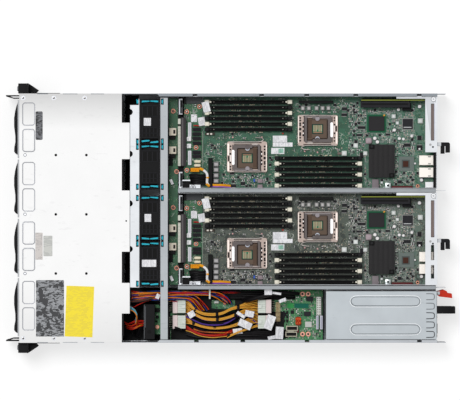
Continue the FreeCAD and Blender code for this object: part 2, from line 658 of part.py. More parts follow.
def power_board():
    """Distribution board between the supplies, the fans and the midplane."""
    x0, x1 = 129.5, 219.5
    board = box(x0, x1, -104.0, 170.0, PDB_Z, PDB_Z + BOARD_T)
    bay_board = box(155.6, 208.5, BAY_BOARD_Y, -121.6, 36.0, 36.0 + BOARD_T)
    top = PDB_Z + BOARD_T
    posts = [standoff(x, y, SHEET, PDB_Z) for x in (135, 214) for y in (-96, 30, 160)]
    headers = []
    for x in (158.4, 186.4):
        headers.append(box(x - 12.2, x + 12.2, -99.7, -90.8, top, top + 24))
        headers.append(box(x - 12.2, x + 12.2, 67.4, 77.2, top, top + 24))
    left, right = PSU_X - 32.4, PSU_X + 26.0
    sockets = [box(left, right, 158, 169.6, top, top + 10), box(left, right, 158, 169.6, PDB_Z - 10.5, PDB_Z)]
    return [board, bay_board] + posts + headers + sockets


def power_plugs():
    """Four cable plugs that sit in the power board's headers."""
    top = PDB_Z + BOARD_T
    plugs = []
    for x in (158.4, 186.4):
        plugs.append(box(x - 12.2, x + 12.2, -90.8, -76.5, top + 1, top + 23))
        plugs.append(box(x - 12.2, x + 12.2, 53.2, 67.4, top + 1, top + 23))
    return plugs


def cable_bundles():
    """Wire bundles between the plugs, and the fan leads over the divider."""
    low, high = PDB_Z + BOARD_T + 7, PDB_Z + BOARD_T + 17
    near, far = -76.5, 53.2

    def between(x, bow, z, rise, width):
        return bundle([(x, near, z), (x, near + 25, z), (x + bow, near + 68, z + rise),
                       (x, far - 20, z), (x, far, z)], width, 6.0)

    return [
        between(152, 14, high, 2, 10.0),
        between(164, 13, low, 1, 11.0),
        between(181, 13, high, 2, 10.0),
        between(194, 12, low, 1, 11.0),
        bundle([(132, -156, 66), (132, -118, 66), (136, -62, 68), (141, -8, 52), (141, 30, 38)], 9.0, 6.0),
    ]


# ================================================================ power supplies
def power_supply(level):
    """Closed metal case with pressed ribs, mains inlet, fan guard and handle."""
    z = PSU_Z[level]
    x0, x1 = PSU_X - PSU_W / 2, PSU_X + PSU_W / 2
    y0 = PSU_REAR - PSU_D
    rib = 0.5
    case = box(x0, x1, y0, PSU_REAR, z, z + PSU_H - rib)
    top = z + PSU_H - rib
    ribs = [stadium(PSU_X + dx, 281.7, top, top + rib, 123.0, 17.0) for dx in (-26.0, 25.5)]
    case = fuse([case] + ribs)
    inlet = box(PSU_X + 12, PSU_X + 36, PSU_REAR - 16, PSU_REAR + 1, z + 12, z + 28)
    fan_recess = rod(PSU_X - 21, PSU_REAR - 2.5, z + PSU_H / 2, 15.4, 4, V(0, 1, 0))
    case = cut(case, [inlet, fan_recess])

    # a bail that stands off the rear face on two feet
    hx, wide, foot = PSU_X - 15.6, 12.6, 3.6
    y1, y2, low, high = PSU_REAR + 26, PSU_REAR + 33.5, z + 1.2, z + PSU_H - 1.2
    handle = run_side([(PSU_REAR, low), (y1, low), (y2, low + 6), (y2, high - 6), (y1, high),
                       (PSU_REAR, high)], hx, hx + wide)
    handle = handle.cut(box(hx - 1, hx + wide + 1, PSU_REAR - 1, y1 + 1, low + foot, high - foot))
    return [case, handle]


def run_side(points, x0, x1):
    """An outline drawn in y and z, run from x0 to x1."""
    wire = Part.makePolygon([V(x0, y, z) for y, z in points + points[:1]])
    return Part.Face(wire).extrude(V(x1 - x0, 0, 0))


def supply_hinge():
    return PSU_X - PSU_W / 2 + 3.2, PSU_REAR + 3.4


def supply_latch(level):
    """Coloured thumb lever that frees the supply, turning on an upright pin."""
    z = PSU_Z[level]
    x, y = supply_hinge()
    z0, z1 = z + 12.0, z + 28.0
    plan = [(x - 2.8, y - 2.6), (x + 2.6, y - 2.6), (x + 6.5, y + 2.0), (x + 9.2, y + 24.9), (x + 1.0, y + 24.0),
            (x + 0.2, y + 16.6), (x - 3.4, y + 14.8), (x - 6.0, y + 9.4), (x - 3.6, y + 0.2)]
    return prism(plan, z0, z1).cut(rod(x, y, z0 - 1, HINGE_R + PIN_GAP, z1 - z0 + 2))


def supply_bracket(level):
    z = PSU_Z[level]
    x, y = supply_hinge()
    ears = [box(x - 2.8, x + 2.8, PSU_REAR, y + 2.4, z + a, z + a + 1.2) for a in (10.3, 28.5)]
    return fuse(ears + [rod(x, y, z + 10.5, HINGE_R, 19.0)])


# ================================================================ output
def write(name, solids):
    solids = solids if isinstance(solids, list) else [solids]
    for solid in solids:
        if not solid.isValid() or solid.Volume <= 0:
            raise ValueError(f"{name} has a faulty solid")
    whole = Part.makeCompound(solids) if len(solids) > 1 else solids[0]
    whole.exportStep(os.path.join("parts", name + ".step"))


def main():
    os.makedirs("parts", exist_ok=True)
    write("chassis_tray", chassis_tray())
    write("bay_frame", bay_frame())
    write("drive_cage", drive_cage())
    write("drive_cage_cover", drive_cage_cover())
    write("drive_backplane", drive_backplane())
    write("fan_brackets", fan_brackets() + [air_blank()])
    write("fan_frames", [fan_frame(x) for x in FAN_X])
    write("fan_mounts", fan_mounts())
    write("distribution_boards", midplane() + power_board())
    write("power_harness", power_plugs() + cable_bundles())
    for name, side in (("left", -1), ("right", 1)):
        write(f"rack_ear_{name}", rack_ear(side))
    for number, (side, z) in enumerate(((s, z) for s in (-1, 1) for z in BUTTON_Z), 1):
        write(f"power_button_{number}", power_button(side, z))
    for number, x in enumerate(FAN_X, 1):
        write(f"fan_rotor_{number}", fan_rotor(x))
    for row in range(ROWS):
        for column in range(COLUMNS):
            number = row * COLUMNS + column + 1
            write(f"drive_carrier_{number}", drive_carrier(column, row))
            write(f"drive_lever_{number}", drive_lever(column, row))
    for level in (1, 0):
        for column in (0, 1):
            number = (1 - level) * 2 + column + 1
            write(f"sled_tray_{number}", [sled_tray(column, level), latch_bracket(column, level)])
            write(f"mainboard_{number}", mainboard(column, level))
            write(f"sled_latch_{number}", sled_latch(column, level))
    for number, level in ((1, 1), (2, 0)):
        write(f"power_supply_{number}", power_supply(level) + [supply_bracket(level)])
        write(f"supply_latch_{number}", supply_latch(level))


main()
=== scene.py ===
# %% [markdown]
# # An opened two-unit rack server
# Four half-width server sleds, twelve drive bays, four fans and two power
# supplies share one folded steel case, seen with its lid off. The rigid frame
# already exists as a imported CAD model, so this lesson never places a piece by
# eye: it reads the frame, gives each node a finish, and dresses or replaces the
# nodes whose real surface is richer than a plain solid.

# %% Load the frame
import bpy
import json
import math
import random
from contextlib import contextmanager
from mathutils import Matrix, Vector

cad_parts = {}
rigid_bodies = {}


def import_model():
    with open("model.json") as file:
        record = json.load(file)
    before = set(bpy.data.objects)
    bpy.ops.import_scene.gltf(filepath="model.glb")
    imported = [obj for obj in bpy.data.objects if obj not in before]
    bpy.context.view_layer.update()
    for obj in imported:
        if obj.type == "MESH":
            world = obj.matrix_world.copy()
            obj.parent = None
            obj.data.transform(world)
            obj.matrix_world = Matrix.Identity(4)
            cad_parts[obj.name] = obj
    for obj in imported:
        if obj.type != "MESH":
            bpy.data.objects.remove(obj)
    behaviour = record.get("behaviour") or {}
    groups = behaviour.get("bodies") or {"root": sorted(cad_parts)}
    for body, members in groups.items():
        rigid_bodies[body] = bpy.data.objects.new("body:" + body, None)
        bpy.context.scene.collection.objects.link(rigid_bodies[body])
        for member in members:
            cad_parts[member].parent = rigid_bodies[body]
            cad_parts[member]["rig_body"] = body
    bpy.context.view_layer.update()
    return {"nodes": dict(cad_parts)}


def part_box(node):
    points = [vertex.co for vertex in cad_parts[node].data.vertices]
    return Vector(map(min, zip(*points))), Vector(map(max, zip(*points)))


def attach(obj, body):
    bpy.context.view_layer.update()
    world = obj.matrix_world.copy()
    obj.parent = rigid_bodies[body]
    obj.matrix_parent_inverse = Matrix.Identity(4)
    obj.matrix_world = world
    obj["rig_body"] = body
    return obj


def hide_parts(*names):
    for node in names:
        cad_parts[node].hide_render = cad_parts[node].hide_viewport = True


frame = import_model()
nodes = frame["nodes"]
MM = 0.001

# %% [markdown]
# ## The table, the lens and the light
# Such a machine is shown from straight above through a long lens, so that its
# walls don't lean. The camera therefore hangs twelve metres up. Light comes
# from an even white sky and one soft lamp. The two add up to a level at which a
# colour renders as it is written. The floor is lifted to white for the camera,
# and for metal that mirrors it, but it still takes the shadow.

# %% Camera
VIEW_WIDTH = 0.823
HEIGHT = 12.0
lens = bpy.data.cameras.new("camera")
lens.sensor_width = 36
lens.lens = 36 * HEIGHT / VIEW_WIDTH
lens.clip_end = 50
camera = bpy.data.objects.new("camera", lens)
camera.location = (-0.0325, 0.0031, HEIGHT + 0.085)
camera.rotation_euler = (0, 0, math.radians(90))
bpy.context.scene.collection.objects.link(camera)
bpy.context.scene.camera = camera
bpy.context.scene.view_settings.view_transform = "Standard"
print("lens", round(lens.lens), "mm")

# %% Sky and lamp
def ray_mask(tree, first, second):
    """1 for two kinds of rays and 0 for all others."""
    rays = tree.nodes.new("ShaderNodeLightPath")
    either = tree.nodes.new("ShaderNodeMath")
    either.operation = "MAXIMUM"
    for slot, kind in enumerate((first, second)):
        tree.links.new(rays.outputs[kind], either.inputs[slot])
    return either.outputs[0]


world = bpy.data.worlds.new("sky")
bpy.context.scene.world = world
world.use_nodes = True
sky = world.node_tree
strength = sky.nodes.new("ShaderNodeMapRange")
strength.inputs["To Min"].default_value = 0.50
strength.inputs["To Max"].default_value = 1.0
sky.links.new(ray_mask(sky, "Is Camera Ray", "Is Transmission Ray"), strength.inputs["Value"])
sky.nodes["Background"].inputs["Color"].default_value = (1, 1, 1, 1)
sky.links.new(strength.outputs["Result"], sky.nodes["Background"].inputs["Strength"])
lamp = bpy.data.objects.new("soft_lamp", bpy.data.lights.new("soft_lamp", "SUN"))
lamp.data.energy = 1.5
lamp.data.angle = math.radians(24)
lamp.rotation_euler = Vector((-0.32, -0.26, 1.0)).to_track_quat("Z", "Y").to_euler()
bpy.context.scene.collection.objects.link(lamp)
print("sky and lamp:", strength.inputs["To Min"].default_value, lamp.data.energy)

# %% Floor
bpy.ops.object.select_all(action="DESELECT")
bpy.ops.mesh.primitive_plane_add(size=30, location=(0, 0, 0))
floor = bpy.context.object
floor.name = "floor"
paper = bpy.data.materials.new("white_floor")
paper.use_nodes = True
paper_tree = paper.node_tree
paper_base = paper_tree.nodes["Principled BSDF"]
paper_base.inputs["Base Color"].default_value = (0.42, 0.42, 0.42, 1)
paper_base.inputs["Roughness"].default_value = 1.0
paper_base.inputs["Specular IOR Level"].default_value = 0.0
glow = paper_tree.nodes.new("ShaderNodeEmission")
level = paper_tree.nodes.new("ShaderNodeMath")
level.operation = "MULTIPLY"
level.inputs[1].default_value = 0.66
paper_tree.links.new(ray_mask(paper_tree, "Is Camera Ray", "Is Glossy Ray"), level.inputs[0])
paper_tree.links.new(level.outputs[0], glow.inputs["Strength"])
both = paper_tree.nodes.new("ShaderNodeAddShader")
paper_tree.links.new(paper_base.outputs[0], both.inputs[0])
paper_tree.links.new(glow.outputs[0], both.inputs[1])
paper_tree.links.new(both.outputs[0], paper_tree.nodes["Material Output"].inputs["Surface"])
floor.data.materials.append(paper)
print("floor laid")

# %% [markdown]
# ## Shader sums written as Python
# A finish is a small network. Wiring Math nodes by hand hides the idea, so a
# socket is wrapped in a class that knows how to add, multiply and compare. One
# method makes every other node from its type, its settings and its inputs.
# All patterns are laid out in millimetres on the piece's own Object
# coordinates, so they stay put when a sled slides out.

# %% Fields and finishes
def tone(red, green, blue):
    """A colour given as it looks on screen, 0 to 255, as light."""
    return tuple((v / 255) ** 2.2 for v in (red, green, blue)) + (1.0,)


class Field:
    """A shader socket that takes part in sums and comparisons."""

    def __init__(self, finish, socket):
        self.finish, self.socket = finish, socket

    def sum_with(self, operation, other, swapped=False):
        pair = (other, self) if swapped else (self, other)
        return self.finish.node("ShaderNodeMath", {"operation": operation}, dict(enumerate(pair)))

    def __add__(self, other):
        return self.sum_with("ADD", other)

    def __sub__(self, other):
        return self.sum_with("SUBTRACT", other)

    def __rsub__(self, other):
        return self.sum_with("SUBTRACT", other, True)

    def __mul__(self, other):
        return self.sum_with("MULTIPLY", other)

    def __mod__(self, other):
        return self.sum_with("FLOORED_MODULO", other)

    def __gt__(self, other):
        return self.sum_with("GREATER_THAN", other)

    def __lt__(self, other):
        return self.sum_with("LESS_THAN", other)

    __radd__, __rmul__ = __add__, __mul__


class Finish:
    """A material under construction."""

    def __init__(self, name, **constants):
        self.material = bpy.data.materials.new(name)
        self.material.use_nodes = True
        self.tree = self.material.node_tree
        self.shader = self.tree.nodes["Principled BSDF"]
        for socket, value in constants.items():
            self.shader.inputs[socket.replace("_", " ")].default_value = value
        texture = self.node("ShaderNodeTexCoord", output="Object")
        self.place = self.vector("SCALE", texture, Scale=1 / MM)

    def node(self, kind, settings=None, inputs=None, output=0):
        made = self.tree.nodes.new(kind)
        for key, value in (settings or {}).items():
            setattr(made, key, value)
        for key, value in (inputs or {}).items():
            if isinstance(value, Field):
                self.tree.links.new(value.socket, made.inputs[key])
            else:
                made.inputs[key].default_value = value
        return Field(self, made.outputs[output])

    def vector(self, operation, first, second=None, **named):
        inputs = {0: first, **({} if second is None else {1: second}), **named}
        return self.node("ShaderNodeVectorMath", {"operation": operation}, inputs)

    def axis(self, name):
        return self.node("ShaderNodeSeparateXYZ", None, {0: self.place}, "XYZ".index(name))

    def noise(self, size, detail=2, stretch=(1, 1, 1)):
        at = self.vector("MULTIPLY", self.place, tuple(s / size for s in stretch))
        return self.node("ShaderNodeTexNoise", None, {"Vector": at, "Scale": 1.0, "Detail": detail})

    def cells(self, size, output="Distance", **settings):
        at = self.vector("MULTIPLY", self.place, (1 / size,) * 3)
        return self.node("ShaderNodeTexVoronoi", settings, {"Vector": at, "Scale": 1.0}, output)

    def mix(self, share, first, second):
        inputs = {"Factor": share, 6: first, 7: second}
        return self.node("ShaderNodeMix", {"data_type": "RGBA"}, inputs, 2)

    def rise(self, axis, low, high):
        """A ramp along an axis, 0 at the low place and 1 at the high one."""
        return self.node("ShaderNodeMapRange", None, {"Value": axis, "From Min": low, "From Max": high})

    def tint(self):
        return self.node("ShaderNodeAttribute", {"attribute_name": "tint"}, output="Color")

    def feed(self, socket, field):
        self.tree.links.new(field.socket, self.shader.inputs[socket])
        return self

    def bump(self, height, depth, strength=0.6):
        inputs = {"Strength": strength, "Distance": depth * MM, "Height": height}
        return self.feed("Normal", self.node("ShaderNodeBump", None, inputs))


# %% [markdown]
# ## Modelling helpers
# Each new piece starts as a primitive at its size and place, is opened in edit
# mode and gets its edges eased there, because no moulded or folded part has
# knife-sharp edges. Dimensions are given in millimetres. What repeats is
# modelled once and copied, and the copies are joined to one piece.

# %% Modelling helpers
def only(piece):
    bpy.ops.object.select_all(action="DESELECT")
    piece.select_set(True)
    bpy.context.view_layer.objects.active = piece


@contextmanager
def editing(piece, test=None, kind="FACE"):
    """Edit mode with everything selected, or only the faces that pass the test."""
    only(piece)
    bpy.ops.object.mode_set(mode="EDIT")
    bpy.ops.mesh.select_mode(type="FACE" if test else kind)
    bpy.ops.mesh.select_all(action="DESELECT" if test else "SELECT")
    if test:
        bpy.ops.object.mode_set(mode="OBJECT")
        for face in piece.data.polygons:
            face.select = bool(test(face.center / MM, face.normal))
        bpy.ops.object.mode_set(mode="EDIT")
    yield
    bpy.ops.object.mode_set(mode="OBJECT")


def settle_in_place(piece):
    """Puts an object's place, turn and scale into its mesh."""
    only(piece)
    bpy.ops.object.transform_apply(location=True, rotation=True, scale=True)
    return piece


def ease_edges(width, steps=1):
    bpy.ops.mesh.bevel(offset=width * MM, segments=steps, affect="EDGES")


def span(middle, half):
    """The two limits of a stretch around its middle."""
    return middle - half, middle + half


def block(x, y, z, ease=0.3, steps=1, turn=0):
    """A box between pairs of limits, its edges eased, turned about its own middle."""
    bpy.ops.object.select_all(action="DESELECT")
    size = [abs(b - a) * MM for a, b in (x, y, z)]
    middle = [(a + b) / 2 * MM for a, b in (x, y, z)]
    bpy.ops.mesh.primitive_cube_add(size=1, location=middle, rotation=(0, 0, math.radians(turn)))
    piece = bpy.context.object
    piece.scale = size
    settle_in_place(piece)
    if ease:
        with editing(piece):
            ease_edges(ease, steps)
    return piece


def drum(at, radius, height, along="Z", sides=16, ease=0.3, steps=1):
    """A short cylinder standing on a point, its two rims eased."""
    bpy.ops.object.select_all(action="DESELECT")
    turn = {"Z": (0, 0, 0), "Y": (math.radians(-90), 0, 0), "X": (0, math.radians(90), 0)}[along]
    axis = Vector([a == along for a in "XYZ"])
    middle = (Vector(at) + axis * height / 2) * MM
    bpy.ops.mesh.primitive_cylinder_add(vertices=sides, radius=radius * MM, depth=height * MM,
                                        location=middle, rotation=turn)
    piece = settle_in_place(bpy.context.object)
    if ease:
        with editing(piece, lambda at, n: abs(n.dot(axis)) > 0.9):
            ease_edges(ease, steps)
    return piece


def sunk(piece, test, border, depth):
    """Insets the faces that pass the test and pushes the inner part in."""
    with editing(piece, test):
        bpy.ops.mesh.inset(thickness=border * MM, depth=0)
        bpy.ops.mesh.extrude_region_shrink_fatten(TRANSFORM_OT_shrink_fatten={"value": -depth * MM})
    return piece


def painted(piece, colour):
    """Writes a colour on the mesh, which the tinted finishes read."""
    layer = piece.data.color_attributes.get("tint")
    layer = layer or piece.data.color_attributes.new("tint", "FLOAT_COLOR", "POINT")
    layer.data.foreach_set("color", list(tone(*colour)) * len(piece.data.vertices))
    return piece


def finished(piece, *finishes):
    piece.data.materials.clear()
    for finish in finishes:
        piece.data.materials.append(finish.material)
    return piece


def joined(name, pieces):
    bpy.ops.object.select_all(action="DESELECT")
    for piece in pieces:
        piece.select_set(True)
    bpy.context.view_layer.objects.active = pieces[0]
    if len(pieces) > 1:
        bpy.ops.object.join()
    whole = bpy.context.object
    whole.name = name
    return whole


def copied(piece, shift=(0, 0, 0), turn=0, about=(0, 0, 0), axis="Z"):
    """A copy with its own mesh, turned about a point and shifted, in millimetres."""
    twin = bpy.data.objects.new(piece.name, piece.data.copy())
    centre = Matrix.Translation(Vector(about) * MM)
    turning = Matrix.Rotation(math.radians(turn), 4, axis)
    twin.data.transform(Matrix.Translation(Vector(shift) * MM) @ centre @ turning @ centre.inverted())
    bpy.context.scene.collection.objects.link(twin)
    return twin


def discard(*pieces):
    for piece in pieces:
        bpy.data.objects.remove(piece)


def row(master, shifts):
    """Copies at each shift; the master itself goes."""
    made = [copied(master, shift) for shift in shifts]
    discard(master)
    return made


def mounted(piece, body, name=None, smooth=30, replaces=()):
    """Last step of every piece: smooth it by angle and let it ride on its body."""
    if name:
        piece.name = name
    if smooth:
        only(piece)
        bpy.ops.object.shade_smooth_by_angle(angle=math.radians(smooth))
    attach(piece, body)
    for node in replaces:
        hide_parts(node)
    return piece


def strands(name, paths, radius, sides=1):
    """Round wires along smooth lines, as one mesh; each path is a list of points."""
    curve = bpy.data.curves.new(name, "CURVE")
    curve.dimensions = "3D"
    curve.bevel_depth = radius * MM
    curve.bevel_resolution = sides
    curve.resolution_u = 5
    curve.use_fill_caps = True
    for path in paths:
        line = curve.splines.new("NURBS")
        line.points.add(len(path) - 1)
        for point, at in zip(line.points, path):
            point.co = (*(Vector(at) * MM), 1)
        line.order_u = 3
        line.use_endpoint_u = True
    piece = bpy.data.objects.new(name, curve)
    bpy.context.scene.collection.objects.link(piece)
    only(piece)
    bpy.ops.object.convert(target="MESH")
    return bpy.context.object


print("helpers ready")

# %% [markdown]
# ## Sheet metal
# The case, shelves and trays are zinc-plated sheet. Up close, such sheet shows
# a fine rolling grain along one direction, faint cloudy spangle and a few
# scuffs, and it mirrors its surroundings softly. Grain and scuffs go into
# roughness and a very shallow bump, so the colour itself stays calm. The wide
# cover has painted shade: its colour darkens towards its two long edges.

# %% Sheet metal finishes
def sheet_metal(name, colour, shine, metallic, grain="Y", clouds=0.06, painted_edge_shade=0.0, gloss=0.5):
    finish = Finish(name, Metallic=metallic, Specular_IOR_Level=gloss)
    stretch = (1, 0.02, 1) if grain == "Y" else (0.02, 1, 1)
    rolled = finish.noise(0.35, 3, stretch)
    spangle = finish.noise(38, 4)
    scuffs = finish.noise(6, 5, (1, 0.3, 1)) > 0.66
    pale, dull = tone(*colour), tone(*(v * (1 - clouds) - 3 for v in colour))
    # A darker tone: the scuffs take it as wear, and the painted edge shade takes it as shade.
    darkening = tone(*(v * 0.8 for v in colour))
    shade = finish.mix(spangle * 1.6 - 0.3, dull, pale)
    # Painted shade: the colour darkens towards the two long edges in x.
    if painted_edge_shade:
        x = finish.axis("X")
        left, right = finish.rise(x, -160.0, -220.0), finish.rise(x, 110.0, 225.0)
        shade = finish.mix(left * painted_edge_shade + right * painted_edge_shade * 0.5, shade, darkening)
    finish.feed("Base Color", finish.mix(scuffs * 0.10, shade, darkening))
    finish.feed("Roughness", shine + rolled * 0.16 + scuffs * 0.10)
    return finish.bump(rolled + spangle * 0.3, 0.012, 0.5)


# The cover carries painted shade that darkens it towards its long edges (0.85).
cover_sheet = sheet_metal("bright_cover_sheet", (255, 255, 255), 0.44, 0.0, "Y", 0.006, 0.85, 0.9)
# Grey finish of the pad rims: painted shade on their slopes.
cover_rim_painted_shade = sheet_metal("pressed_edge_painted_shade", (176, 178, 184), 0.45, 0.30)
case_sheet = sheet_metal("plated_case_sheet", (184, 188, 193), 0.34, 0.55)
# A darker copy of the case sheet for the wall's top flange: painted dark reflection.
flange_dark_reflection = sheet_metal("plated_flange_painted_reflection", (136, 142, 148), 0.34, 0.55)
divider_sheet = sheet_metal("plated_divider_sheet", (152, 157, 161), 0.36, 0.45)
brace_sheet = sheet_metal("plated_brace_sheet", (174, 179, 183), 0.36, 0.45)
inner_sheet = sheet_metal("plated_inner_sheet", (222, 225, 229), 0.36, 0.45)
dark_sheet = sheet_metal("dull_inner_sheet", (112, 114, 118), 0.42, 0.5)
tray_sheet = sheet_metal("plated_tray_sheet", (196, 199, 203), 0.33, 0.6, "Y", 0.08)
supply_sheet = sheet_metal("supply_sheet", (189, 196, 201), 0.36, 0.35)
drive_alloy = sheet_metal("cast_drive_alloy", (168, 170, 173), 0.40, 0.8, "X")
print("sheet metals ready")

# %% [markdown]
# ## Moulded plastic and small parts
# Fans, levers, sockets and the hundreds of tiny board parts are plastic or
# plated metal in many colours. One material per colour would fill the file, so
# two tinted finishes read the colour that was written on each mesh. Plastic
# has a fine spark-eroded texture; plated metal is smoother and mirrors more.

# %% Plastic finishes
def moulded(name, colour=None, shine=0.42, texture=0.5, variation=0.16):
    finish = Finish(name, Specular_IOR_Level=0.14)
    base = tone(*colour) if colour else finish.tint()
    darker = tone(*(v * 0.72 for v in colour)) if colour else finish.vector("SCALE", base, Scale=0.6)
    fine = finish.noise(texture, 3)
    blotch = finish.noise(9, 3)
    finish.feed("Base Color", finish.mix(blotch * variation * 2, base, darker))
    finish.feed("Roughness", shine + fine * 0.14 + blotch * 0.06)
    return finish.bump(fine, 0.02, 0.45)


tinted_plastic = moulded("tinted_plastic")
black_plastic = moulded("black_plastic", (24, 24, 26), 0.40)
grey_plastic = moulded("grey_plastic", (92, 92, 96), 0.45)
fan_plastic = moulded("fan_plastic", (20, 20, 22), 0.38, 0.7)
lever_plastic = moulded("lever_plastic", (20, 20, 23), 0.36, 0.6)
rubber = moulded("blue_rubber", (58, 196, 218), 0.55, 0.4, 0.10)
wire_skin = moulded("wire_insulation", None, 0.36, 0.9, 0.10)
red_plastic = moulded("release_red", (204, 52, 30), 0.35, 0.5)


def plated(name, shine=0.26, metallic=0.85):
    finish = Finish(name, Metallic=metallic)
    fine = finish.noise(0.6, 3)
    # A noise for wear, which darkens the colour in patches.
    darkening = finish.noise(4.5, 4)
    base = finish.tint()
    finish.feed("Base Color", finish.mix(darkening * 0.3, base, finish.vector("SCALE", base, Scale=0.7)))
    finish.feed("Roughness", shine + fine * 0.12 + darkening * 0.08)
    return finish.bump(fine, 0.01, 0.4)


tinted_metal = plated("plated_metal")


def in_plastic(piece, colour):
    return finished(painted(piece, colour), tinted_plastic)


def in_metal(piece, colour):
    return finished(painted(piece, colour), tinted_metal)


def in_skin(piece, colour):
    return finished(painted(piece, colour), wire_skin)


print("plastics ready")

# %% [markdown]
# ## Circuit boards
# A solder mask is a coat over copper: where traces run, the green is a little
# lighter and stands a few hundredths proud. Bundles of traces keep one
# direction inside a patch and change it in the next one, which Voronoi cells
# give for free. Vias are dots of bare copper, and white silkscreen marks frame
# the parts.

# %% Board finish
def as_grey(finish, mask):
    """A mask as a grey colour, so that masks can be mixed as colours are."""
    return finish.mix(mask, (0, 0, 0, 1), (1, 1, 1, 1))


def circuit_board(name, mask, trace, busy=0.5, pale_rear=False):
    finish = Finish(name)
    patch = finish.cells(17, "Color")
    pick = finish.node("ShaderNodeSeparateColor", None, {0: patch})
    x, y = finish.axis("X"), finish.axis("Y")
    along_y = (x * 0.8 % 1.0) < 0.42
    along_x = (y * 0.8 % 1.0) < 0.42
    slant = ((x + y) * 0.62 % 1.0) < 0.42
    lines = finish.mix(pick > 0.42, as_grey(finish, slant), as_grey(finish, along_x))
    lines = finish.mix(pick > 0.66, lines, as_grey(finish, along_y))
    quiet = finish.noise(11, 3) > 0.62 - busy * 0.22
    copper = finish.node("ShaderNodeRGBToBW", None, {0: lines}) * quiet
    via = (finish.cells(2.6) < 0.16) * (finish.noise(15, 2) > 0.47)
    print_cell = finish.cells(6.5, feature="DISTANCE_TO_EDGE", distance="EUCLIDEAN")
    printed = (print_cell < 0.022) * (finish.noise(24, 2) > 0.6)
    shade = finish.mix(finish.noise(60, 3) * 0.7, tone(*mask), tone(*(v * 0.8 for v in mask)))
    if pale_rear:
        rear = finish.rise(y, 205.0, 260.0)
        shade = finish.mix(rear * 0.5 * (finish.noise(5, 4) > 0.46), shade, tone(104, 134, 120))
    shade = finish.mix(copper * 0.75, shade, tone(*trace))
    shade = finish.mix(via, shade, tone(190, 176, 140))
    shade = finish.mix(printed * 0.8, shade, tone(214, 220, 208))
    finish.feed("Base Color", shade)
    finish.feed("Roughness", 0.36 - copper * 0.05 + printed * 0.25 + via * 0.05)
    return finish.bump(copper * 0.6 + printed + via * 0.8, 0.05, 0.5)


bright_board = circuit_board("bright_green_board", (6, 78, 52), (44, 116, 86), 0.65, True)
link_board = circuit_board("deep_green_board", (10, 88, 50), (34, 118, 70), 0.35)
power_green = circuit_board("power_green_board", (16, 106, 58), (92, 168, 104), 0.8)
olive_board = circuit_board("dull_green_board", (38, 50, 42), (104, 114, 100), 0.85, True)
print("boards ready")

# %% [markdown]
# ## Dressing the CAD nodes that keep their shape
# Where a node's own shape is right, it stays. Its edges are still those of a
# drawing, so a copy is merged, given a bevel of a few tenths of a millimetre
# that catches the light as a folded or moulded edge does, and stands for it.

# %% Dressing helpers
def corners(node):
    """The low and the high corner of a CAD node, in millimetres."""
    return [Vector(corner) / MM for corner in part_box(node)]


def eased_node(node, finish, width=0.25, angle=35, others=(), where=None):
    """A copy of a CAD node with its edges eased; other finishes where the test says."""
    piece = bpy.data.objects.new(node + "_eased", nodes[node].data.copy())
    bpy.context.scene.collection.objects.link(piece)
    with editing(piece):
        bpy.ops.mesh.customdata_custom_splitnormals_clear()
        bpy.ops.mesh.remove_doubles(threshold=0.000002)
        bpy.ops.mesh.dissolve_limited(angle_limit=math.radians(0.5))
    ease = piece.modifiers.new("ease", "BEVEL")
    ease.width = width * MM
    ease.segments = 1
    ease.limit_method = "ANGLE"
    ease.angle_limit = math.radians(angle)
    only(piece)
    bpy.ops.object.modifier_apply(modifier="ease")
    finished(piece, finish, *others)
    if others:
        for face in piece.data.polygons:
            face.material_index = int(where(face.center / MM))
    return mounted(piece, nodes[node]["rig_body"], replaces=[node])


print("dressing helpers ready")

# %% Finishes for the nodes
sled_numbers = range(1, 5)


def dress(finish, *names):
    """One finish on CAD nodes that stay as they are or get an eased copy later."""
    for name in names:
        for material_slot in nodes[name].material_slots:
            material_slot.material = finish.material


def numbered(name, count):
    """The names of a family of nodes."""
    return [f"{name}_{n}" for n in range(1, count + 1)]


dress(case_sheet, "chassis_tray")
dress(inner_sheet, "bay_frame", "fan_brackets")
dress(dark_sheet, "drive_cage")
dress(black_plastic, "drive_backplane", "rack_ear_left", "rack_ear_right", *numbered("sled_latch", 4))
dress(fan_plastic, "fan_frames", *numbered("fan_rotor", 4))
dress(rubber, "fan_mounts")
dress(link_board, "distribution_boards")
dress(tray_sheet, *numbered("sled_tray", 4))
dress(grey_plastic, *numbered("power_button", 4))
dress(bright_board, "mainboard_1", "mainboard_3")
dress(olive_board, "mainboard_2", "mainboard_4")
dress(supply_sheet, *numbered("power_supply", 2))
dress(red_plastic, *numbered("supply_latch", 2))
dress(drive_alloy, *numbered("drive_carrier", 12))
dress(lever_plastic, *numbered("drive_lever", 12))
print("every node has its finish")

# %% [markdown]
# ## The server sleds
# The four sleds carry the same circuit board, so one board is built on the
# first sled and copied to the other three. Every part on it is placed in the
# frame's own millimetres, above the board's upper face.

# %% Board and card blanks
SLED_PITCH, LEVEL_DROP = 173.0, -42.9
SLED_SHIFT = {1: (0, 0, 0), 2: (SLED_PITCH, 0, 0), 3: (0, 0, LEVEL_DROP), 4: (SLED_PITCH, 0, LEVEL_DROP)}
MID, TOP, BOARD_T = -135.9, 52.0, 1.6
BLACK, SOOT, CREAM, COPPER = (16, 15, 16), (34, 34, 36), (244, 239, 222), (206, 150, 128)
board = block(span(MID, 81.7), (-45, 368), (TOP - BOARD_T, TOP), 0.2)
edge_board = block((MID - 69, MID + 78), (-79.2, -46), (TOP - BOARD_T, TOP), 0.2)
plastic_parts, metal_parts, label_parts, taken = [], [], [], []


def kept(pieces, metal=False, colour=None):
    """Gives board parts their finish and collects them by finish."""
    for piece in pieces:
        if colour:
            painted(piece, colour)
        finished(piece, tinted_metal if metal else tinted_plastic)
    (metal_parts if metal else plastic_parts).extend(pieces)
    return pieces


def part(x, y, height, colour, foot=0.0, ease=0.25, metal=False, turn=0, steps=1):
    """A tinted block on the board between two limits in x and in y."""
    taken.append((*x, *y))
    return kept([block(x, y, (TOP + foot, TOP + height), ease, steps, turn)], metal, colour)[0]


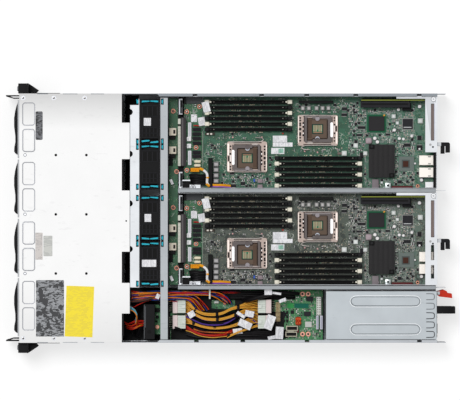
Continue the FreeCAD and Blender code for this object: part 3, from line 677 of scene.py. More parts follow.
def can(x, y, radius, height, colour, metal=False, foot=0.0, sides=14):
    """A tinted drum on the board with a round top edge."""
    taken.append((x - radius, x + radius, y - radius, y + radius))
    piece = drum((x, y, TOP + foot), radius, height - foot, "Z", sides, radius * 0.18)
    return kept([piece], metal, colour)[0]


print("board blank ready")

# %% [markdown]
# ### Memory sockets
# A memory socket is a long black trough with a narrow slot, a key in the slot
# and a swing latch at each end. Every other socket has pale latches, which tells
# the two channels apart. The trough is one block whose top is inset and pushed
# in; the latch is a block whose top leans outwards.

# %% Memory sockets
SOCKET_L, SOCKET_W, SOCKET_PITCH = 133.0, 6.2, 9.87
BANKS = ((-208.3, 36.1, (0, 2, 4)), (-107.6, 161.4, (1, 3, 5)))


def swing_latch(end, colour):
    """A latch at one end of a socket, leaning outwards, with a thumb rest."""
    y0, y1 = sorted((end * (SOCKET_L / 2 + 2.6), end * (SOCKET_L / 2 + 10.2)))
    arm = block((-3.5, 3.5), (y0, y1), (TOP + 2, TOP + 13.4), 0)
    with editing(arm, lambda at, n: n.z > 0.9):
        bpy.ops.transform.translate(value=(0, end * 1.6 * MM, 0))
        bpy.ops.mesh.inset(thickness=1.0 * MM, depth=0)
        bpy.ops.mesh.extrude_region_shrink_fatten(TRANSFORM_OT_shrink_fatten={"value": 0.6 * MM})
    with editing(arm):
        ease_edges(0.35)
    hook = block((-1.4, 1.4), tuple(sorted((end * SOCKET_L / 2, end * (SOCKET_L / 2 + 3.4)))),
                 (TOP + 9.6, TOP + 12), 0.3)
    return [painted(piece, colour) for piece in (arm, hook)]


def memory_socket(colour):
    half = SOCKET_L / 2
    trough = block((-SOCKET_W / 2, SOCKET_W / 2), (-half - 2, half + 2), (TOP, TOP + 9.6), 0)
    sunk(trough, lambda at, n: n.z > 0.9, 1.9, 4.5)
    with editing(trough, lambda at, n: n.z > 0.9 and at.z > TOP + 9):
        ease_edges(0.3)
    key = block((-1.4, 1.4), (8.0, 9.6), (TOP + 4.8, TOP + 9.4), 0.2)
    towers = [block((-3.05, 3.05), tuple(sorted((e * (half - 1.5), e * (half + 2.4)))),
                    (TOP + 0.5, TOP + 10.4), 0.4) for e in (-1, 1)]
    dots = [painted(drum((0, e * (half - 4.6), TOP + 9.2), 0.9, 0.6, "Z", 8, 0.15), (150, 146, 138))
            for e in (-1, 1)]
    dark = [painted(piece, BLACK) for piece in (trough, key, *towers)]
    whole = joined("memory_socket", dark + dots + swing_latch(-1, colour) + swing_latch(1, colour))
    return finished(whole, tinted_plastic)


pale_socket, dark_socket = memory_socket(CREAM), memory_socket(SOOT)
for first, middle, pale_rows in BANKS:
    for i in range(6):
        x = first + SOCKET_PITCH * i
        plastic_parts.append(copied(pale_socket if i in pale_rows else dark_socket, (x, middle, 0)))
        taken.append((x - 4, x + 4, middle - 82, middle + 82))
discard(pale_socket, dark_socket)
# beads and marks in the lanes between the sockets
marks = random.Random(11)
for first, middle, pale_rows in BANKS:
    for i in range(-1, 6):
        x = first + SOCKET_PITCH * (i + 0.5)
        for j in range(12):
            y = middle + marks.uniform(-36, 24)
            kept([block(span(x, 0.8), (y, y + marks.uniform(1.4, 5.4)), (TOP, TOP + 0.9), 0.15)],
                 colour=(222, 212, 186) if marks.random() < 0.7 else (150, 184, 160))
print("sockets:", len(plastic_parts), "plastic pieces so far")

# %% [markdown]
# ### Processor sockets
# A land-grid socket is a stack: a pale stamped frame with rows of holes, a grey
# load plate with a large window, the brown contact housing inside it, and in the
# middle a cavity with a row of small parts. A sprung wire lever runs along each
# side, and one of them ends in a hook. The frame is one plate; its holes are cut
# with a Boolean modifier because they go right through.

# %% Processor sockets
def plate(x, y, z, corner, steps=3):
    """A flat plate with round upright corners."""
    bpy.ops.object.select_all(action="DESELECT")
    middle = ((x[0] + x[1]) / 2 * MM, (y[0] + y[1]) / 2 * MM, z[0] * MM)
    bpy.ops.mesh.primitive_plane_add(size=1, location=middle)
    piece = bpy.context.object
    piece.scale = (abs(x[1] - x[0]) * MM, abs(y[1] - y[0]) * MM, 1)
    settle_in_place(piece)
    with editing(piece, kind="VERT"):
        bpy.ops.mesh.bevel(offset=corner * MM, segments=steps, affect="VERTICES")
        bpy.ops.mesh.select_all(action="SELECT")
        bpy.ops.mesh.extrude_region_move(TRANSFORM_OT_translate={"value": (0, 0, (z[1] - z[0]) * MM)})
        bpy.ops.mesh.select_all(action="SELECT")
        bpy.ops.mesh.normals_make_consistent(inside=False)
    return piece


def cut_away(piece, tools):
    """Cuts the tools out of the piece and removes them."""
    tool = joined("tool", tools)
    cutter = piece.modifiers.new("cut", "BOOLEAN")
    cutter.operation = "DIFFERENCE"
    cutter.object = tool
    cutter.solver = "EXACT"
    cutter.use_self = True
    only(piece)
    bpy.ops.object.modifier_apply(modifier="cut")
    discard(tool)
    return piece


def bar(a, b, height, colour, foot=4.6, corner=0.0):
    """A thin raised strip of the socket; a and b are its two spans."""
    if corner:
        return painted(plate(a, b, (TOP + foot, TOP + height), corner), colour)
    return painted(block(a, b, (TOP + foot, TOP + height), 0.15), colour)


def socket_frame():
    """Stamped frame with its holes, bright outer strips and darker rails."""
    z = TOP
    frame_plate = plate((-27.6, 27.6), (-35.9, 35.9), (z + 3.2, z + 4.6), 3.5)
    tools = [drum((a, 31.6, z), r, 8, "Z", 10, 0)
             for a, r in ((-18.6, 1.8), (-13.2, 1.8), (-8.2, 1.9), (-4.9, 1.9), (2.2, 2.5),
                          (9.2, 1.9), (12.5, 1.9), (17.6, 1.8), (22.2, 1.8))]
    tools += [drum((a, 26.0, z), 1.9, 8, "Z", 8, 0) for a in (-8.9, -1.2, 6.2, 13.0)]
    tools += [drum((a, -29.7, z), 1.6, 8, "Z", 10, 0) for a in (-18.9, -13.2, 17.6, 22.2)]
    tools += [plate((-1.8, 7.9), (-34.2, -31.6), (z, z + 8), 1.2)]
    tools += [plate((-19.0, 22.4), (-22.5, 23.0), (z, z + 8), 1.5)]
    cut_away(frame_plate, tools)
    with editing(frame_plate):
        bpy.ops.mesh.dissolve_limited(angle_limit=0.01)
    pieces = [painted(frame_plate, (172, 156, 148))]
    for a, colour in ((-25.9, (86, 77, 73)), (26.0, (82, 66, 58))):
        pieces.append(bar(span(a, 1.4), (-24, 26), 5.4, colour))
    pieces += [bar(a, (-26.6, -25.7), 5.3, (66, 57, 53)) for a in ((-22.0, -12.8), (14.8, 25.0))]
    pieces.append(bar((-3.2, 8.8), (-30.2, -28.2), 5.8, (226, 216, 212), 4.6, 0.9))
    for a0, a1 in ((-24.0, -2.6), (8.6, 25.6)):
        pieces.append(bar((a0, a1), (-35.4, -32.0), 5.2, (240, 226, 218), 4.6))
    pieces.append(bar((-22.5, 25.5), (33.8, 35.6), 5.0, (234, 220, 212)))
    # Small near-white marks beside the holes: painted highlights.
    pieces += [bar(span(a, 1.0), (24.8, 27.0), 5.1, (250, 248, 248)) for a in (-5.5, 9.9)]
    pieces += [bar(span(a, 1.6), (-31.6, -28.6), 5.1, (14, 14, 14)) for a in (-5.4, 10.0)]
    return pieces


def load_plate():
    """Grey plate with its window, tabs and stamped lines, and the spring bar painted near white as its
    highlight.
    """
    z = TOP
    load = plate((-22.4, 25.2), (-25.5, 24.0), (z + 4.6, z + 6.0), 3.0)
    cut_away(load, [plate((-15.8, 20.4), (-18.1, 19.6), (z, z + 9), 2.0),
                    plate((-19.8, 23.8), (9.4, 19.6), (z, z + 9), 2.6)])
    pieces = [painted(load, (96, 90, 89))]
    strips = (((-22.3, -21.5), (-23.5, 8.4), 6.1, (54, 46, 40), 5.9),
              ((-24.3, -23.2), (-23.5, 7.4), 6.1, (170, 163, 157), 5.0),
              ((-23.8, -21.9), (9.0, 19.0), 6.1, (186, 178, 172), 5.0, 0.8),
              ((23.6, 24.8), (-23.0, 24.0), 6.1, (150, 145, 146), 5.9),
              ((-20.0, 25.6), (24.0, 25.2), 5.6, (42, 36, 36)))
    pieces += [bar(*strip) for strip in strips]
    for a, tall, colour in ((-14.9, 1.2, (176, 180, 190)), (-17.0, 1.5, (90, 84, 84)),
                            (20.9, 1.4, (138, 132, 136))):
        pieces.append(painted(drum((a, 0.7, z + 4.7), 4.2, tall, "Z", 16, 0.3), colour))
    # The spring bar, painted near white: painted highlight of the curved spring.
    pieces.append(bar((-12.4, 14.4), (-27.2, -22.6), 6.7, (250, 250, 252), 6.0, 2.2))
    return pieces


def contact_housing():
    """Brown housing with dark shadow lines and the cavity with its small parts."""
    z = TOP
    body = plate((-15.4, 20.0), (-17.7, 19.2), (z, z + 4.4), 1.2)
    sunk(body, lambda at, n: n.z > 0.9, 1.3, 0.9)
    cavity = block((-6.2, 11.2), (-9.6, 10.4), (z + 3.4, z + 4.1), 0.3)
    sunk(cavity, lambda at, n: n.z > 0.9, 1.2, 0.5)
    wing = plate((-17.6, 21.8), (10.6, 18.6), (z, z + 3.6), 1.6)
    pieces = [painted(body, (104, 88, 76)), painted(wing, (92, 74, 62)), painted(cavity, (38, 62, 56))]
    pieces.append(painted(plate((-20.2, 24.2), (9.0, 20.2), (z, z + 3.0), 2.0), (20, 18, 20)))
    pieces.append(painted(block((-4.9, 9.9), (-8.2, 9.0), (z + 3.5, z + 3.8), 0.1), (58, 120, 92)))
    pieces.append(painted(plate((-17.2, 21.6), (-19.6, 21.0), (z, z + 3.2), 2.2), (24, 22, 22)))
    for i, b in enumerate((-7.4, -5.2, -3.0, -0.6, 1.8, 4.0, 6.2)):
        colour = ((186, 176, 146), (176, 150, 124))[i % 2]
        start = 1.4 if i == 3 else -2.0
        pieces.append(painted(block((start, 9.4), (b, b + 1.6), (z + 3.6, z + 4.2), 0.2), colour))
    pieces.append(painted(block((-4.4, -2.8), (-7.6, 7.8), (z + 3.6, z + 4.2), 0.2), (176, 128, 104)))
    for a, b in (((-14.6, 19.0), (-17.5, -16.3)), ((-14.6, 19.6), (17.6, 18.9)),
                 ((-15.2, -14.1), (-16.5, 9.4))):
        pieces.append(painted(block(a, b, (z + 3.8, z + 4.6), 0.1), (40, 30, 26)))
    return pieces


def processor_socket(x, y, turn):
    """A whole socket, modelled around the origin and set in its place."""
    z = TOP
    lever = strands("lever", [
        [(-26.8, -30, z + 5.0), (-26.8, -10, z + 5.6), (-26.8, 10, z + 5.6), (-26.9, 22, z + 5.6),
         (-29.2, 29.6, z + 5.8), (-33.4, 28.4, z + 6.0), (-34.4, 22, z + 6.0), (-34.8, 15, z + 5.6)],
        [(27.0, 30, z + 5.0), (27.0, 5, z + 5.6), (27.0, -24, z + 5.6), (26.0, -31.0, z + 5.2)],
    ], 0.8)
    backing = block((-24.0, 25.0), (-34.8, 34.8), (z + 0.4, z + 1.4), 0.2)
    housing = [painted(backing, (18, 20, 19))] + contact_housing()
    steel = socket_frame() + load_plate() + [painted(lever, (190, 182, 178))]
    steel = finished(joined("socket_steel", steel), tinted_metal)
    plastic = finished(joined("socket_plastic", housing), tinted_plastic)
    for piece, group in ((steel, metal_parts), (plastic, plastic_parts)):
        group.append(copied(piece, (x, y, 0), turn))
        discard(piece)
    taken.append((x - 30, x + 30, y - 38, y + 38))


processor_socket(-109.9, 33.7, 0)
processor_socket(-157.4, 160.6, 180)
print("processor sockets placed")

# %% [markdown]
# ### Chips, chokes and connectors
# The large parts are listed with their limits and colours: first the packages
# with leads, then the plain blocks, then the round cans. A package gets a thin
# plated skirt for its leads, and its edges are eased like moulded epoxy.

# %% Chips with leads
def package(x, y, height, colour, lead=1.0, sides="XY"):
    """A moulded package over a thin plated skirt that stands for its leads."""
    grow_x, grow_y = (lead if "X" in sides else -0.6), (lead if "Y" in sides else -0.6)
    part(x, y, height, colour, 0.3, 0.35)
    part((x[0] - grow_x, x[1] + grow_x), (y[0] - grow_y, y[1] + grow_y), 0.55,
         (150, 150, 148), 0.1, 0.1, True)


part((-185.4, -153.8), (249.0, 282.8), 1.0, (30, 96, 66), 0, 0.15)
part((-182.6, -156.6), (251.8, 280.0), 3.0, (47, 46, 48), 0.8, 0.3)
part((-185.6, -183.2), (278.0, 281.4), 1.3, (250, 170, 60), 0.9, 0.2, turn=35)
package((-178.0, -159.6), (312.6, 331.2), 2.0, (44, 44, 48))
part((-163.6, -162.2), (314.5, 328.5), 2.1, (206, 208, 210), 1.9, 0.05)
part((-110.6, -84.7), (306.0, 333.4), 1.2, (112, 122, 118), 0, 0.2)
part((-104.8, -89.8), (311.2, 325.6), 1.6, (86, 92, 90), 1.1, 0.2)
part((-102.4, -92.0), (313.4, 323.0), 2.4, (74, 44, 34), 1.2, 0.2)
for x, y in (((-199, -193), (204, 213)), ((-188, -183), (203, 213)), ((-165, -160), (232, 246)),
             ((-151, -147), (230, 240)), ((-152, -148), (282, 290)), ((-134, -128), (315, 327)),
             ((-131, -122), (338, 348)), ((-148, -140), (339, 347)), ((-208, -193), (312, 324)),
             ((-61, -55), (4, 14)), ((-83, -78), (3, 11)), ((-65, -59), (22, 30)),
             ((-178, -173), (190, 196)), ((-140, -133), (226, 232)), ((-68, -62), (304, 311)),
             ((-83, -78), (338, 345)), ((-77, -71), (346, 352)), ((-118, -108), (236, 243))):
    package(x, y, 1.8, (38, 38, 41), 0.9, "X" if y[1] - y[0] > x[1] - x[0] else "Y")
print("chips:", len(plastic_parts))

# %% Heat sink
fins = block((-132.1, -72.7), (251.8, 253.5), (TOP + 3, TOP + 11), 0.15)
fins = row(fins, [(0, i * 2.24, 0) for i in range(21)])
base = block((-132.1, -72.7), (251.8, 297.8), (TOP + 0.6, TOP + 4.4), 0.4)
kept([base, *fins], False, (58, 57, 58))
for x, y in ((-128.2, 257.2), (-76.4, 293.0)):
    part(span(x, 4.0), span(y, 4.6), 12.0, (12, 12, 13), 4, 0.5)
    can(x, y, 2.6, 14.0, (40, 40, 42), False, 11)
taken.append((-133, -72, 250, 299))

# %% Chokes, headers and labels on the board
for x in (-96.5, -86.7, -76.6, -66.6):
    part(span(x, 4.1), (-26.6, -17.2), 6.5, (128, 126, 128), 0, 0.9, steps=2)
    part(span(x, 2.6), (-25.2, -18.6), 7.0, (186, 184, 184), 6.2, 0.5)
for y in (133.7, 144.5, 158.4, 169.1, 179.7):
    part((-201.0, -193.2), span(y, 3.6), 6.5, (140, 138, 138), 0, 0.9, steps=2)
    part((-199.6, -194.6), span(y, 2.2), 7.0, (196, 194, 192), 6.2, 0.5)
for x in (-66.6, -56.6):
    part(span(x, 3.6), (52.6, 61.6), 5.5, (150, 136, 142), 0, 0.9, steps=2)
part((-70.2, -64.6), (45.2, 48.2), 4.0, (60, 96, 190), 0, 0.4)
part((-69.6, -52.6), (257.7, 269.7), 6.5, (132, 124, 128), 0, 1.0, steps=2)
part((-144.4, -133.2), (246.2, 257.6), 6.0, (176, 160, 166), 0, 3.0, steps=3)
part((-57.9, -53.4), (293.3, 330.5), 8.0, (94, 40, 42), 0, 0.4)
part((-108.0, -56.6), (-36.0, -28.3), 12.0, (20, 20, 21), 0, 0.5)
part((-210.7, -205.7), (127.0, 188.0), 11.0, (26, 26, 27), 0, 0.5)
part((-153.2, -148.8), (-41.6, -24.6), 5.0, (70, 62, 56), 0, 0.4)
for y in (-36.8, -30.6):
    part((-152.6, -149.4), span(y, 1.9), 6.2, (236, 230, 220), 4.6, 0.5)
part((-153.0, -150.6), (96.4, 99.2), 1.2, (196, 60, 44), 0, 0.2)
for x, y0, y1 in ((-141, 178, 186), (-150, 190, 198), (-116, 196, 205)):
    part(span(x, 2.2), (y0, y1), 2.6, (120, 110, 104), 0, 0.4)
can(-57.6, 339.7, 3.4, 0.4, COPPER, True, sides=18)
can(-57.6, 339.7, 1.7, 0.6, (60, 44, 40), False, 0.3)
part((-63.6, -53.8), (281.0, 291.6), 9.0, (206, 212, 212), 0, 1.2, True, steps=2)
can(-58.7, 286.3, 2.2, 9.4, (60, 64, 66), False, 8.8)

# %% Pale dots and squares
for y, x, size in ((296.6, -182.6, 7.4), (344.5, -174.4, 9.0), (208.0, -116.3, 9.0), (228.6, -130.2, 8.0),
                   (245.9, -116.2, 7.5), (303.3, -170.7, 5.6), (275.2, -63.8, 4.2), (329.7, -148.0, 5.4)):
    half = size / 2
    part(span(x, half), span(y, half), 3.6, (214, 219, 216), 0, 0.6)
    part(span(x, half * 0.5), span(y, half * 0.5), 3.9, (238, 240, 240), 3.5, 0.15)
for y, x, radius in ((343.0, -200.3, 3.4), (305.2, -194.9, 3.0), (297.8, -158.0, 3.2), (262.9, -143.2, 3.4),
                     (267.4, -136.6, 3.4), (306.7, -142.8, 3.0), (314.0, -141.8, 2.8), (346.5, -68.3, 3.2),
                     (329.0, -147.0, 2.8), (335.0, -98.0, 1.8), (343.0, -124.0, 2.0)):
    can(x, y, radius, 5.6, (226, 222, 226), True)
    can(x, y, radius * 0.55, 6.0, (248, 246, 240), False, 5.4, 10)
for y, x in ((8.0, -145.0), (60.0, -145.0), (137.0, -120.0), (160.0, -118.0), (196.0, -138.0)):
    can(x, y, 1.6, 0.5, (190, 150, 150), True, 0, 10)
print("metal pieces:", len(metal_parts))

# %% [markdown]
# ### Labels without lettering
# Real boards carry part stickers. Here they stay generic: pale paper with a few
# grey bars where print would be, made of stretched cells, so that nothing can be
# read and no maker is named.

# %% Label finish
def printed_paper(name, ground, ink, bar=1.5, gap=0.45, along="Y", shine=0.55):
    finish = Finish(name)
    across, stretch = ("X", (0.25, 1, 1)) if along == "Y" else ("Y", (1, 0.25, 1))
    lines = (finish.axis(across) * (1 / bar) % 1.0) > gap
    breaks = finish.noise(bar * 1.3, 2, stretch) > 0.46
    margin = finish.noise(bar * 7, 1) > 0.42
    ink_share = lines * breaks * margin
    fibre = finish.noise(0.8, 4)
    paper_shade = finish.mix(fibre * 0.25, tone(*ground), tone(*(v * 0.9 for v in ground)))
    finish.feed("Base Color", finish.mix(ink_share * 0.75, paper_shade, tone(*ink)))
    finish.feed("Roughness", shine + fibre * 0.15 - ink_share * 0.08)
    return finish.bump(fibre, 0.01, 0.3)


white_label = printed_paper("white_part_label", (244, 244, 247), (150, 150, 160), 1.4, 0.55)


def sticker(x, y, z, finish=None, turn=0, thick=0.15):
    """A paper label with its underside at z."""
    piece = block(x, y, (z, z + thick), 0.04, 1, turn)
    return finished(piece, finish or white_label)


for x, y, turn in (((-147.9, -135.9), (79.9, 105.6), 0), ((-135.6, -128.2), (79.9, 115.5), 0),
                   ((-125.9, -115.1), (77.0, 100.6), 0)):
    label_parts.append(sticker(x, y, TOP + 0.1, None, turn))
label_parts.append(finished(block((-124.5, -116.8), (90.0, 99.0), (TOP + 0.25, TOP + 0.32), 0.02),
                            printed_paper("teal_part_label", (150, 200, 180), (96, 140, 124))))
taken.append((-149, -114, 76, 116))
print("labels:", len(label_parts))

# %% [markdown]
# ### The board-edge card
# In front of the mainboard a narrow card carries the plug that meets the
# midplane, a row of small connectors and the sled's own leads. Its green is
# deeper than the mainboard's, and copper rings surround its screws.

# %% Edge card parts
def copper_ring(x, y, lift=0.0):
    """The copper ring round a screw, with the dark screw head on it."""
    can(x, y, 4.3, lift + 0.5, (226, 170, 150), True, lift, 20)
    can(x, y, 2.9, lift + 1.8, (96, 74, 66), True, lift + 0.4, 16)


label_parts.append(sticker((-69.6, -60.2), (-104.0, -99.2), 60.0, None, 24))
part((-180.4, -93.2), (-85.0, -75.9), 9.0, (74, 70, 72), 0, 0.8)
part((-179.6, -94.2), (-83.2, -81.6), 9.4, (110, 106, 108), 8.8, 0.15)
part((-179.6, -94.2), (-78.6, -77.4), 9.4, (52, 49, 51), 8.8, 0.15)
part((-155.0, -88.0), (-46.4, -45.2), 1.6, (150, 162, 150), 0, 0.2)
for x in ((-171.5, -145.8), (-120.9, -95.1)):
    part(x, (-72.1, -66.2), 7.0, (234, 234, 238), 0, 0.4)
    part((x[0] + 1.2, x[1] - 1.2), (-70.6, -67.6), 7.3, (196, 196, 204), 6.8, 0.1)
for x in ((-145.8, -138.0), (-133.4, -125.4)):
    part(x, (-74.2, -66.4), 7.4, (240, 240, 240), 0, 0.8)
    part((x[0] + 1.6, x[1] - 1.6), (-73.2, -70.6), 8.0, (206, 206, 210), 7.2, 0.3)
for x in (-159.3, -151.1, -143.0, -134.4, -118.0, -110.8):
    part(span(x, 2.8), (-64.0, -49.0), 6.0, (48, 44, 50), 0, 0.7)
    part(span(x, 1.6), (-62.6, -50.4), 6.3, (30, 28, 32), 5.8, 0.2)
for x in (-101.6, -94.4):
    part(span(x, 2.6), (-61.4, -49.0), 7.4, (236, 228, 200), 0, 2.2, steps=3)
part((-89.8, -83.6), (-69.0, -53.4), 7.6, (30, 27, 24), 0, 0.8)
for x, y in ((-190.8, -74.5), (-200.0, -51.7), (-126.8, -57.8), (-85.9, -74.2), (-70.0, -55.9)):
    copper_ring(x, y)
    can(x, y, 1.3, 2.1, (222, 214, 206), True, 1.6, 6)
for x, y, turn in (((-186, -172.5), (-66.9, -56), 0), ((-181, -165.8), (-53.8, -41.6), 10)):
    label_parts.append(sticker(x, y, TOP + (2.4 if turn else 0.2), None, turn))
label_parts.append(sticker((-208.6, -190.0), (-46, -33.4), TOP + 15.6, None, 14, 0.3))
film = block(span(MID, 81.6), (-89.6, -79.4), (45.5, 45.8), 0.05)
shade = block((MID - 81.6, MID - 69.4), (-79.4, -46.4), (52.0, 52.6), 0.2)
step = block((MID - 81.6, MID - 69.4), (-79.4, -76.0), (52.0, 58.0), 0.4)
for piece, colour in ((film, (16, 16, 17)), (shade, (84, 86, 88)), (step, (30, 30, 31))):
    kept([piece], False, colour)
part((-64.4, -52.6), (-82.0, -68.0), 14.0, (14, 14, 15), 0, 0.4)
for x, y in (((-68.6, -52.6), (-88.2, -84.6)), ((-69.0, -66.4), (-84.8, -68.0))):
    part(x, y, 14.6, (214, 217, 221), 0, 0.3, True)
part((-60.0, -52.6), (-69.4, -49.6), 14.4, (206, 209, 213), 0, 0.3, True)
can(-55.4, -63.3, 4.5, 19.0, (196, 198, 202), True, 14.0, 24)
can(-55.4, -63.3, 2.2, 19.4, (120, 122, 126), True, 18.8, 18)
print("edge card done")

# %% [markdown]
# ### Riser, jacks and ports
# A card stands on edge along the left wall; from above it is a thin yellow-green
# line with a black slot beside it. The network jacks are bright stamped shells
# with a window in their rear face.

# %% Riser and rear ports
riser = finished(block((-212.0, -210.4), (238, 352), (TOP + 9, TOP + 28), 0.15), link_board)
part((-214.5, -207.9), (240, 324), 9.0, (30, 30, 32), 0, 0.4)
part((-210.2, -198.0), (237, 326), 21.0, (40, 40, 44), 13.0, 0.6)
part((-205.6, -202.6), (240, 322), 21.2, (18, 18, 19), 20.4, 0.15)
contact = block((-208.8, -206.6), (240.4, 241.2), (TOP + 20.6, TOP + 21.3), 0.1)
kept(row(contact, [(0, i * 2.1, 0) for i in range(40)]), colour=(70, 70, 76))
part((-207.0, -192.4), (312.6, 327.4), 12.0, (26, 26, 28), 0, 0.6)
rim_line = block((-212.05, -210.35), (238, 352), (TOP + 27.6, TOP + 28.1), 0.1)
kept([rim_line], False, (140, 148, 66))
for x in (-103.8, -81.9):
    shell = block(span(x, 8.8), (342.0, 372.8), (TOP, TOP + 13.4), 0.4)
    sunk(shell, lambda at, n: n.y > 0.9, 2.2, 9.0)
    kept([shell], True, (240, 234, 226))
    for side in (-1, 1):
        part(span(x + side * 6.4, 1.2), (358, 363), 13.7, (160, 158, 154), 13.2, 0.15, True)
        light = (230, 180, 60) if side > 0 else (110, 190, 90)
        part(span(x + side * 5.4, 1.4), (370.2, 373.4), 13.0, light, 11.0, 0.2)
    part(span(x, 5.2), (362.0, 364.0), 5.2, (210, 176, 96), 2.6, 0.2, True)
for low, high in ((0.4, 6.6), (7.4, 13.6)):
    shell = block((-65.0, -54.6), (353.0, 372.8), (TOP + low, TOP + high), 0.3)
    sunk(shell, lambda at, n: n.y > 0.9, 0.8, 12.0)
    kept([shell], True, (224, 224, 226))
    part((-61.8, -58.0), (361.0, 372.2), high - 1.6, (34, 34, 38), low + 2.6, 0.2)
shell = block((-155.4, -124.4), (361.2, 372.8), (TOP, TOP + 12), 0.5)
kept([shell], False, (44, 42, 42))
mouth = block((-148.4, -131.4), (371.6, 373.9), (TOP + 1.6, TOP + 9.2), 1.6, 2)
sunk(mouth, lambda at, n: n.y > 0.9, 0.8, 1.0)
kept([mouth], True, (206, 206, 206))
taken.append((-214, -52, 336, 375))
taken.append((-214, -196, 236, 330))
print("ports done")

# %% Rear bracket, gasket fingers and tab shadows
SLED_TOP = 84.4
gasket = plate((-204.4, -139.4), (363.2, 367.8), (SLED_TOP - 2.4, SLED_TOP - 0.5), 2.0)
kept([gasket], False, (126, 112, 108))
fold_line = block((-205.0, -138.8), (369.0, 369.5), (SLED_TOP - 0.3, SLED_TOP + 0.05), 0.05)
kept([fold_line], False, (150, 150, 190))
for foot, radius, height, sides, ease, colour in ((-0.3, 4.6, 0.6, 24, 0.2, (120, 122, 126)),
                                                  (-0.2, 3.9, 1.1, 20, 0.3, (244, 245, 247)),
                                                  (0.7, 2.2, 0.3, 16, 0.1, (186, 188, 192))):
    kept([drum((-212.8, 367.2, SLED_TOP + foot), radius, height, "Z", sides, ease)], True, colour)
for x, y, radius, shade in ((-127.4, 366.2, 1.7, (10, 10, 10)), (-131.4, 361.6, 2.2, (176, 176, 178)),
                            (-208.0, 370.6, 0.6, (40, 40, 44))):
    kept([drum((x, y, SLED_TOP - 0.1), radius, 0.2, "Z", 14, 0.05)], False, shade)
finger = block((-117.0, -115.6), (371.8, 373.2), (SLED_TOP - 6.0, SLED_TOP - 0.4), 0.1)
kept(row(finger, [(i * 2.9, 0, 0) for i in range(22)]), True, (206, 208, 210))
shadow = block((-117.6, -53.4), (366.9, 371.9), (SLED_TOP - 7.0, SLED_TOP - 4.4), 0.3)
kept([shadow], False, (14, 14, 15))
TAB_TOP = 66.4
for x0, x1 in ((-213.4, -186.4), (-82.4, -55.4)):
    dim = block((x0 + 1.6, x1 - 1.0), (-86.4, -82.2), (TAB_TOP - 0.5, TAB_TOP + 0.3), 0.1)
    kept([dim], False, (70, 72, 74))
    black = block((x0 + 3.0, x1 - 12.0), (-85.4, -82.2), (TAB_TOP, TAB_TOP + 0.5), 0.1)
    kept([black], False, (16, 17, 17))
print("bracket dressed")

# %% [markdown]
# ### Hundreds of tiny parts
# The busy look of a board comes from its smallest parts: resistors, ceramic
# capacitors, transistors and small drivers. Five of them are modelled with a few
# faces each. They are set on a two-millimetre grid by a seeded chance, thicker
# where real boards are crowded, and never on a place that is taken.

# %% Tiny part masters
def tiny(length, width, height, colour, ends=(196, 196, 196), reach=0.35):
    """A small part with a plated cap at both ends."""
    body = in_plastic(block(span(0, width / 2), span(0, length / 2), (TOP, TOP + height), 0.12), colour)
    caps = []
    for end in (-1, 1):
        y = sorted((end * (length / 2 - reach), end * (length / 2 + 0.2)))
        caps.append(in_metal(block(span(0, width / 2 + 0.05), y, (TOP, TOP + height + 0.04), 0), ends))
    return joined("tiny", [body, *caps])


def scattered(kinds, fields, grid, jitter, lift=0.0):
    """Tiny parts by seeded chance over some fields, never on a place that is taken."""
    masters, weights = zip(*kinds)
    placed = []
    for (x0, x1), (y0, y1), crowd in fields:
        for i in range(int((x1 - x0) / grid[0])):
            for j in range(int((y1 - y0) / grid[1])):
                x = x0 + i * grid[0] + chance.uniform(*jitter[0])
                y = y0 + j * grid[1] + chance.uniform(*jitter[1])
                if chance.random() > crowd:
                    continue
                if any(a - 1.4 < x < b + 1.4 and c - 1.6 < y < d + 1.6 for a, b, c, d in taken):
                    continue
                master = chance.choices(masters, weights)[0]
                placed.append(copied(master, (x, y, lift), 90 * chance.randint(0, 1)))
    discard(*masters)
    return placed


board_kinds = [
    (tiny(1.9, 1.0, 0.5, (38, 36, 36)), 36), (tiny(2.1, 1.3, 1.2, (168, 142, 112)), 17),
    (tiny(1.6, 0.9, 0.7, (136, 128, 118)), 12), (tiny(3.3, 1.7, 1.1, (30, 30, 32), (150, 150, 150), 0.2), 12),
    (tiny(3.6, 2.7, 1.9, (52, 46, 42), (190, 190, 190), 0.7), 5), (tiny(2.0, 1.2, 0.8, (212, 214, 208)), 5),
    (tiny(5.2, 4.0, 1.4, (34, 34, 37), (160, 160, 160), 0.1), 5), (tiny(2.0, 1.2, 0.8, (168, 58, 40)), 2),
]
board_fields = [
    ((-207, -56), (216, 342), 0.64), ((-79, -56), (-12, 118), 0.50), ((-206, -187), (118, 232), 0.42),
    ((-134, -112), (-40, -6), 0.30), ((-152, -139), (-22, 66), 0.10), ((-141, -84), (74, 82), 0.30),
    ((-203, -70), (-78, -47), 0.13), ((-126, -118), (118, 210), 0.25), ((-215, -209), (-20, 120), 0.16),
]
chance = random.Random(23)
tiny_parts = scattered(board_kinds, board_fields, (2.5, 2.9), ((0.4, 1.4), (0.4, 1.6)))
print(len(tiny_parts), "tiny parts")

# %% [markdown]
# ### Leads inside a sled
# A few leads run from the card to the power header. Each is a smooth line with
# a round section, turned into a mesh. They are fixed at both ends, so they are
# part of the sled and not free cords.

# %% Sled leads
leads = []


def lead(points, radius, colour):
    """An insulated lead above the board; heights count from its upper face."""
    piece = strands("lead", [[(x, y, z + TOP) for x, y, z in points]], radius, 2)
    leads.append(in_skin(piece, colour))


